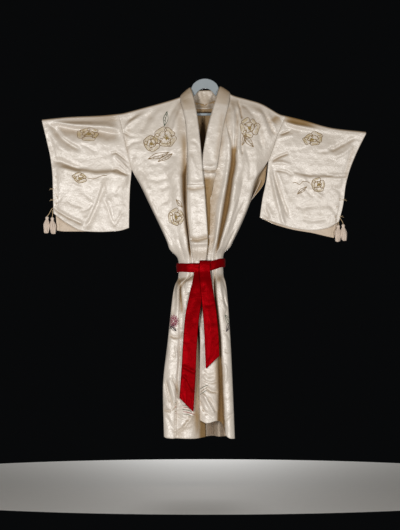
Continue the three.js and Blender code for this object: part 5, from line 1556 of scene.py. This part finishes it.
# Embroidery on each face: piece, motif, middle (x, z), half width and half height, turn in degrees
MOTIFS = {
    FRONT_WAY: [
        ("sleeve_right", blossom(5, 1), (-464, -222), (50, 29), 0),
        ("sleeve_right", blossom(4, 2), (-498, -396), (31, 22), 8),
        ("sleeve_right", tendril((-1, -0.4), (-0.4, -0.7), (0.2, 0.2), (0.7, 0.8), (1, 0.7)),
         (-430, -396), (38, 9), 0),
        ("sleeve_left", blossom(5, 3), (436, -240), (43, 29), -6),
        ("sleeve_left", blossom(4, 4), (449, -424), (30, 29), 20),
        ("sleeve_left", tendril((1, 0.2), (0.3, 0.6), (-0.2, -0.3), (-0.7, 0.3), (-1, 0.1)),
         (384, -420), (34, 14), 0),
        ("sleeve_left", leaf((0.8, 0.6), (-0.7, -0.8), 0.14), (386, -446), (26, 22), 0),
        ("body_right", blossom(5, 5), (-162, -236), (50, 48), 10),
        ("body_right", blossom(4, 6), (-214, -258), (34, 34), 0),
        ("body_right", leaf((1, 0.5), (-1, -0.7), 0.2), (-186, -308), (42, 22), 0),
        ("body_right", leaf((1, 0.9), (-0.6, -0.9), 0.16), (-166, -318), (36, 18), 0),
        ("body_right", leaf((-0.2, -1), (0.3, 1), 0.2, "green"), (-158, -162), (22, 30), 0),
        ("body_left", blossom(5, 7), (176, -194), (40, 42), -15),
        ("body_left", leaf((-0.8, 0.9), (0.9, -0.9), 0.18), (172, -252), (24, 26), 0),
        ("body_left", leaf((0.3, 0.9), (-0.8, -0.9), 0.2), (160, -246), (16, 26), 0),
        ("body_right", blossom(5, 8), (-112, -554), (36, 40), 0),
        ("body_right", leaf((1, -0.8), (-0.8, 0.9), 0.2), (-104, -502), (14, 18), 0),
        ("body_right", chrysanthemum(), (-126, -970), (22, 26), 0),
        ("body_right", leaf((0.8, 0.6), (-0.9, -0.5), 0.22, "dark"), (-136, -992), (20, 14), 0),
        ("body_right", leaf((-0.6, 0.9), (0.8, -0.7), 0.2, "dark"), (-128, -1000), (16, 12), 0),
        ("body_left", leaf((-0.9, 0.7), (0.6, -0.9), 0.2, "green"), (92, -962), (14, 26), 0),
        ("body_left", leaf((0.7, 0.8), (-0.4, -0.8), 0.2, "dark"), (90, -992), (14, 24), 0),
        ("body_right", blades(6, 0.3, ("green", "gold", "scarlet")), (-98, -1322), (24, 24), 0),
        ("overlap_right", blades(5, 0.3, ("green", "scarlet")), (-66, -1326), (26, 20), 0),
        ("overlap_left", blades(3, -0.7, ("green", "gold")), (-4, -1242), (17, 12), 0),
    ],
    BACK_WAY: [
        ("body_right", blossom(5, 9), (-170, -250), (46, 44), 0),
        ("body_right", leaf((1, 0.5), (-1, -0.6), 0.2), (-190, -316), (40, 20), 0),
        ("body_left", blossom(5, 10), (150, -330), (42, 40), 0),
        ("body_left", leaf((-1, 0.6), (1, -0.4), 0.2), (176, -392), (36, 20), 0),
        ("body_left", chrysanthemum(), (40, -1080), (30, 30), 0),
        ("body_right", blades(6, 0.3, ("green", "gold")), (-90, -1250), (36, 26), 0),
        ("sleeve_right", blossom(5, 11), (-450, -350), (44, 38), 0),
        ("sleeve_left", blossom(5, 12), (400, -370), (44, 38), 0),
    ],
}

# Threads: material and radius
THREADS = {
    "gold": (GOLD, 1.15),
    "yellow": (YELLOW_GOLD, 1.2),
    "pale": (PALE_GOLD, 0.8),
    "rose": (PINK, 1.25),
    "green": (GREEN, 1.2),
    "dark": (DARK, 1.4),
    "scarlet": (SCARLET, 1.2),
}


def embroidery():
    """All motifs, gathered into one piece for each colour on each face."""
    sewn = {}
    placed_motifs = [(facing, *row) for facing, rows in MOTIFS.items() for row in rows]
    for facing, node, motif, middle, size, degrees in placed_motifs:
        c, d = ray(math.radians(degrees))
        for colour, strokes in motif.items():
            for stroke in strokes:
                turned = [(q[0] * c - q[1] * d, q[0] * d + q[1] * c) for q in stroke]
                path = [(middle[0] + x * size[0], middle[1] + z * size[1]) for x, z in turned]
                sewn.setdefault((colour, facing), []).extend(laid_on(node, path, facing))
    for (colour, facing), strokes in sewn.items():
        material, radius = THREADS[colour]
        face = "front" if facing == FRONT_WAY else "back"
        threads(f"embroidery_{colour}_{face}", strokes, radius, material)


# Small hem stitches, set back from the lower edges
HEM_STITCH = {"long": 5, "gap": 4, "up": 9, "radius": 0.45, "above": 0.4}
SIDE_SEAM_RADIUS = 1.5


def hem_stitches(node, edge, facing=FRONT_WAY):
    """Short stitches along an edge given as (x, z), set up from it."""
    step = HEM_STITCH["long"] + HEM_STITCH["gap"]
    path = curve_2d(edge, step) + np.array([0, HEM_STITCH["up"]])
    share = HEM_STITCH["long"] / step
    made = []
    for a, b in zip(path, path[1:]):
        made += laid_on(node, [a, a + (b - a) * share], facing, HEM_STITCH["above"])
    return made


def stitching():
    """Side seams, and the hems of the sleeves, body and overlap panels."""
    hems = []
    back_hem = dict(zip(BACK_KEYS, BACK["hem"]))
    for half in HALF:
        threads(f"side_seam_{half}", [side_seam(half)], SIDE_SEAM_RADIUS, FLOSS)
        hems += hem_stitches(f"sleeve_{half}", SLEEVE[half]["front_hem"])
        hems += hem_stitches(f"sleeve_{half}", SLEEVE[half]["back_hem"], BACK_WAY)
        front = [(FRONT[half]["hem"][k][0], FRONT_HEM[half][k]) for k in range(1, SIDE)]
        hems += hem_stitches(f"body_{half}", front)
        back = [(mix(back_hem["centre"], back_hem[half], s), BACK_HEM) for s in (0.04, 0.5, 0.96)]
        hems += hem_stitches(f"body_{half}", back, BACK_WAY)
        flap = [(q[0], z) for q, z in zip(OVERLAP[half]["hem"], OVERLAP_HEM[half])]
        hems += hem_stitches(f"overlap_{half}", flap)
    threads("hem_stitching", hems, HEM_STITCH["radius"], PALE_GOLD)


# Lacing down each sleeve's outer edge: stitches in pairs, then knots with loose ends. "inward" is the
# way along X into the sleeve.
LACING = {
    "sleeve_right": {
        "stitches": [(-600, -392), (-600, -434), (-598, -462), (-594, -474), (-598, -500)],
        "knots": [(-611, -442), (-610, -486)], "inward": 1,
    },
    "sleeve_left": {
        "stitches": [(543, -482), (531, -512), (526, -550), (529, -566)],
        "knots": [(555, -486), (543, -552)], "inward": -1,
    },
}
LACE = {"cord": 0.9, "knot": 2.6, "squash": 0.8}


def ball(bm, centre, radius, squash=1.0):
    made = bmesh.ops.create_uvsphere(bm, u_segments=12, v_segments=8, radius=radius * MM)["verts"]
    bmesh.ops.scale(bm, verts=made, vec=(1, 1, squash))
    bmesh.ops.translate(bm, verts=made, vec=[v * MM for v in centre])


def smooth_piece(name, bm, material, slot):
    mesh = mesh_of(name, bm, material)
    mesh.shade_smooth()
    placed(name, mesh, slot)


def lacing(node, lace):
    strokes, way = [], lace["inward"]
    for x, z in lace["stitches"]:
        strokes += laid_on(node, [(x + way * k, z + 1.5 * math.sin(k)) for k in range(0, 8)])
        strokes += laid_on(node, [(x + way * k, z - 6) for k in range(2, 8)])
    bm = bmesh.new()
    for x, z in lace["knots"]:
        ball(bm, (x, -9, z), LACE["knot"], LACE["squash"])
        tie = [(8, -11, 1), (0, -11, 0), (-5, -10, -1), (-12, -10, -4)]
        loose = [(0, -9, 0), (-6, -8, 3), (-9, -8, 2)]
        strokes += [[(x + way * dx, y, z + dz) for dx, y, dz in end] for end in (tie, loose)]
    threads(node + "_lacing", strokes, LACE["cord"], CORD)
    smooth_piece(node + "_lace_knots", bm, CORD, "satin")


# Tassels: round head, three bindings round the neck, locks of floss and a cord. "root", "full" and
# "end" are how far out the locks hang at their start, at "fullest" of their length and at their end.
TASSEL = {
    "head": 7.2, "head_high": 14, "cord": 1.5,
    "binding": {"radius": 5.6, "middle": 6.1, "high": 1.8, "step": 1.7, "start": 1.5},
    "locks": 60, "lock": 1.75, "long": 56, "root": 4.6, "full": 11.4, "end": 9.4, "fullest": 0.45,
}
GOLDEN_TURN = 2.39996  # spreads the locks evenly


def tassel(name, head, tied, lean):
    size = TASSEL
    chance = np.random.default_rng(sum(map(ord, name)))
    c, d = ray(math.radians(lean))

    def leaned(x, y, z):
        return (head[0] + x * c - z * d, head[1] + y, head[2] + z * c)

    locks = []
    for k in range(size["locks"]):
        ring = math.sqrt((k + 0.5) / size["locks"])
        a = k * GOLDEN_TURN + chance.uniform(-0.2, 0.2)
        long = size["long"] * (0.93 + 0.07 * math.sqrt(1 - ring * ring)) * chance.uniform(0.96, 1.02)
        turn = chance.uniform(-0.35, 0.35)
        s = np.linspace(0, 1, 9)
        out = ring * through([0, size["fullest"], 1], [size["root"], size["full"], size["end"]], s)
        x = out * np.cos(a + turn * s) + 0.7 * np.sin(7 * s + k)
        locks.append(list(zip(*leaned(x, out * np.sin(a + turn * s), 2 - size["head_high"] - long * s))))
    floss = threads(name + "_locks", locks, size["lock"], FLOSS, "tassel_silk", sides=1, taper=True)
    bm = bmesh.new()
    ball(bm, leaned(0, 0, -size["head_high"] * 0.5), size["head"])
    bound = size["binding"]
    for k, radius in enumerate((bound["radius"], bound["middle"], bound["radius"])):
        wide, high = radius * MM, bound["high"] * MM
        made = bmesh.ops.create_cone(bm, cap_ends=True, segments=20, radius1=wide, radius2=wide,
                                     depth=high)["verts"]
        centre = leaned(0, 0, bound["start"] - size["head_high"] - bound["step"] * k)
        bmesh.ops.translate(bm, verts=made, vec=[v * MM for v in centre])
    smooth_piece(name + "_head", bm, FLOSS, "tassel_silk")
    head, tied = np.array(head, float), np.array(tied, float)
    cord = [head + (tied - head) * s + (1.2 * math.sin(6 * s), 0, 0) for s in np.linspace(-0.1, 1, 9)]
    threads(name + "_cord", [cord], size["cord"], CORD, "tassel_silk", sides=2)
    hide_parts(name)


# The picture: its height in pixels, millimetres to a pixel at the middle plane, its middle as (x, z),
# and how far away the camera stands
PICTURE = {"high": 530, "scale": 4.0, "centre": (-20, -746), "away": 12.0}
FLOOR = {"z": -1.62, "radius": 1.5}

# Soft boxes, in metres: place, what each looks at, width and height, power in watts, colour
LIGHTS = {
    "key": ((-1.5, -4.6, -1.15), (-0.05, 0, -0.8), (0.9, 1.1), 101, "#fffdfb"),
    "fill": ((1.7, -4.6, -1.1), (0.05, 0, -0.85), (0.9, 1.1), 66, "#fffdfb"),
    "back": ((0, 4.2, -0.9), (0, 0, -0.7), (0.8, 0.8), 62, "#ffffff"),
}


def area_light(name, place, aim, size, power, colour):
    data = bpy.data.lights.new(name, "AREA")
    data.shape = "RECTANGLE"
    data.size, data.size_y = size
    data.energy = power
    data.color = linear(colour)[:3]
    made = placed(name, data)
    made.location = place
    made.rotation_euler = (Vector(aim) - Vector(place)).to_track_quat("-Z", "Y").to_euler()


def studio():
    """A round floor, a near black room with soft light of its own, and three lights."""
    bm = bmesh.new()
    bmesh.ops.create_circle(bm, cap_ends=True, segments=96, radius=FLOOR["radius"])
    bmesh.ops.translate(bm, verts=bm.verts, vec=(0, 0, FLOOR["z"]))
    placed("floor", mesh_of("floor", bm, floor_paint()))
    world = bpy.data.worlds.new("studio")
    bpy.context.scene.world = world
    world.use_nodes = True
    tree = world.node_tree
    tree.nodes.clear()
    path = add(tree, "LightPath")
    room = add(tree, "Background", {"Color": linear("#e9e4dc"), "Strength": 0.13})
    seen = add(tree, "Background", {"Color": linear("#0e0f10"), "Strength": 1.0})
    both = add(tree, "MixShader", {0: (path, "Is Camera Ray"), 1: (room, 0), 2: (seen, 0)})
    add(tree, "OutputWorld", {"Surface": (both, "Shader")})
    for name, light in LIGHTS.items():
        area_light(name, *light)


def make_camera():
    """Looks straight on from far away, so that the middle plane keeps its scale."""
    data = bpy.data.cameras.new("camera")
    data.sensor_width = 36
    data.lens = data.sensor_width * PICTURE["away"] / (PICTURE["high"] * PICTURE["scale"] * MM)
    data.clip_end = 100
    camera = placed("camera", data)
    x, z = PICTURE["centre"]
    camera.location = (x * MM, -PICTURE["away"], z * MM)
    camera.rotation_euler = (math.pi / 2, 0, 0)
    bpy.context.scene.camera = camera


for half in HALF:
    cloth_of(half)
collars()
sash()
hanger()
SURFACES = surfaces()
embroidery()
stitching()
for node, lace in LACING.items():
    lacing(node, lace)
for name, tied_on in TASSELS.items():
    tassel(name, **tied_on)

bpy.context.scene.view_settings.view_transform = "Standard"
bpy.context.scene.view_settings.look = "Medium High Contrast"
studio()
make_camera()
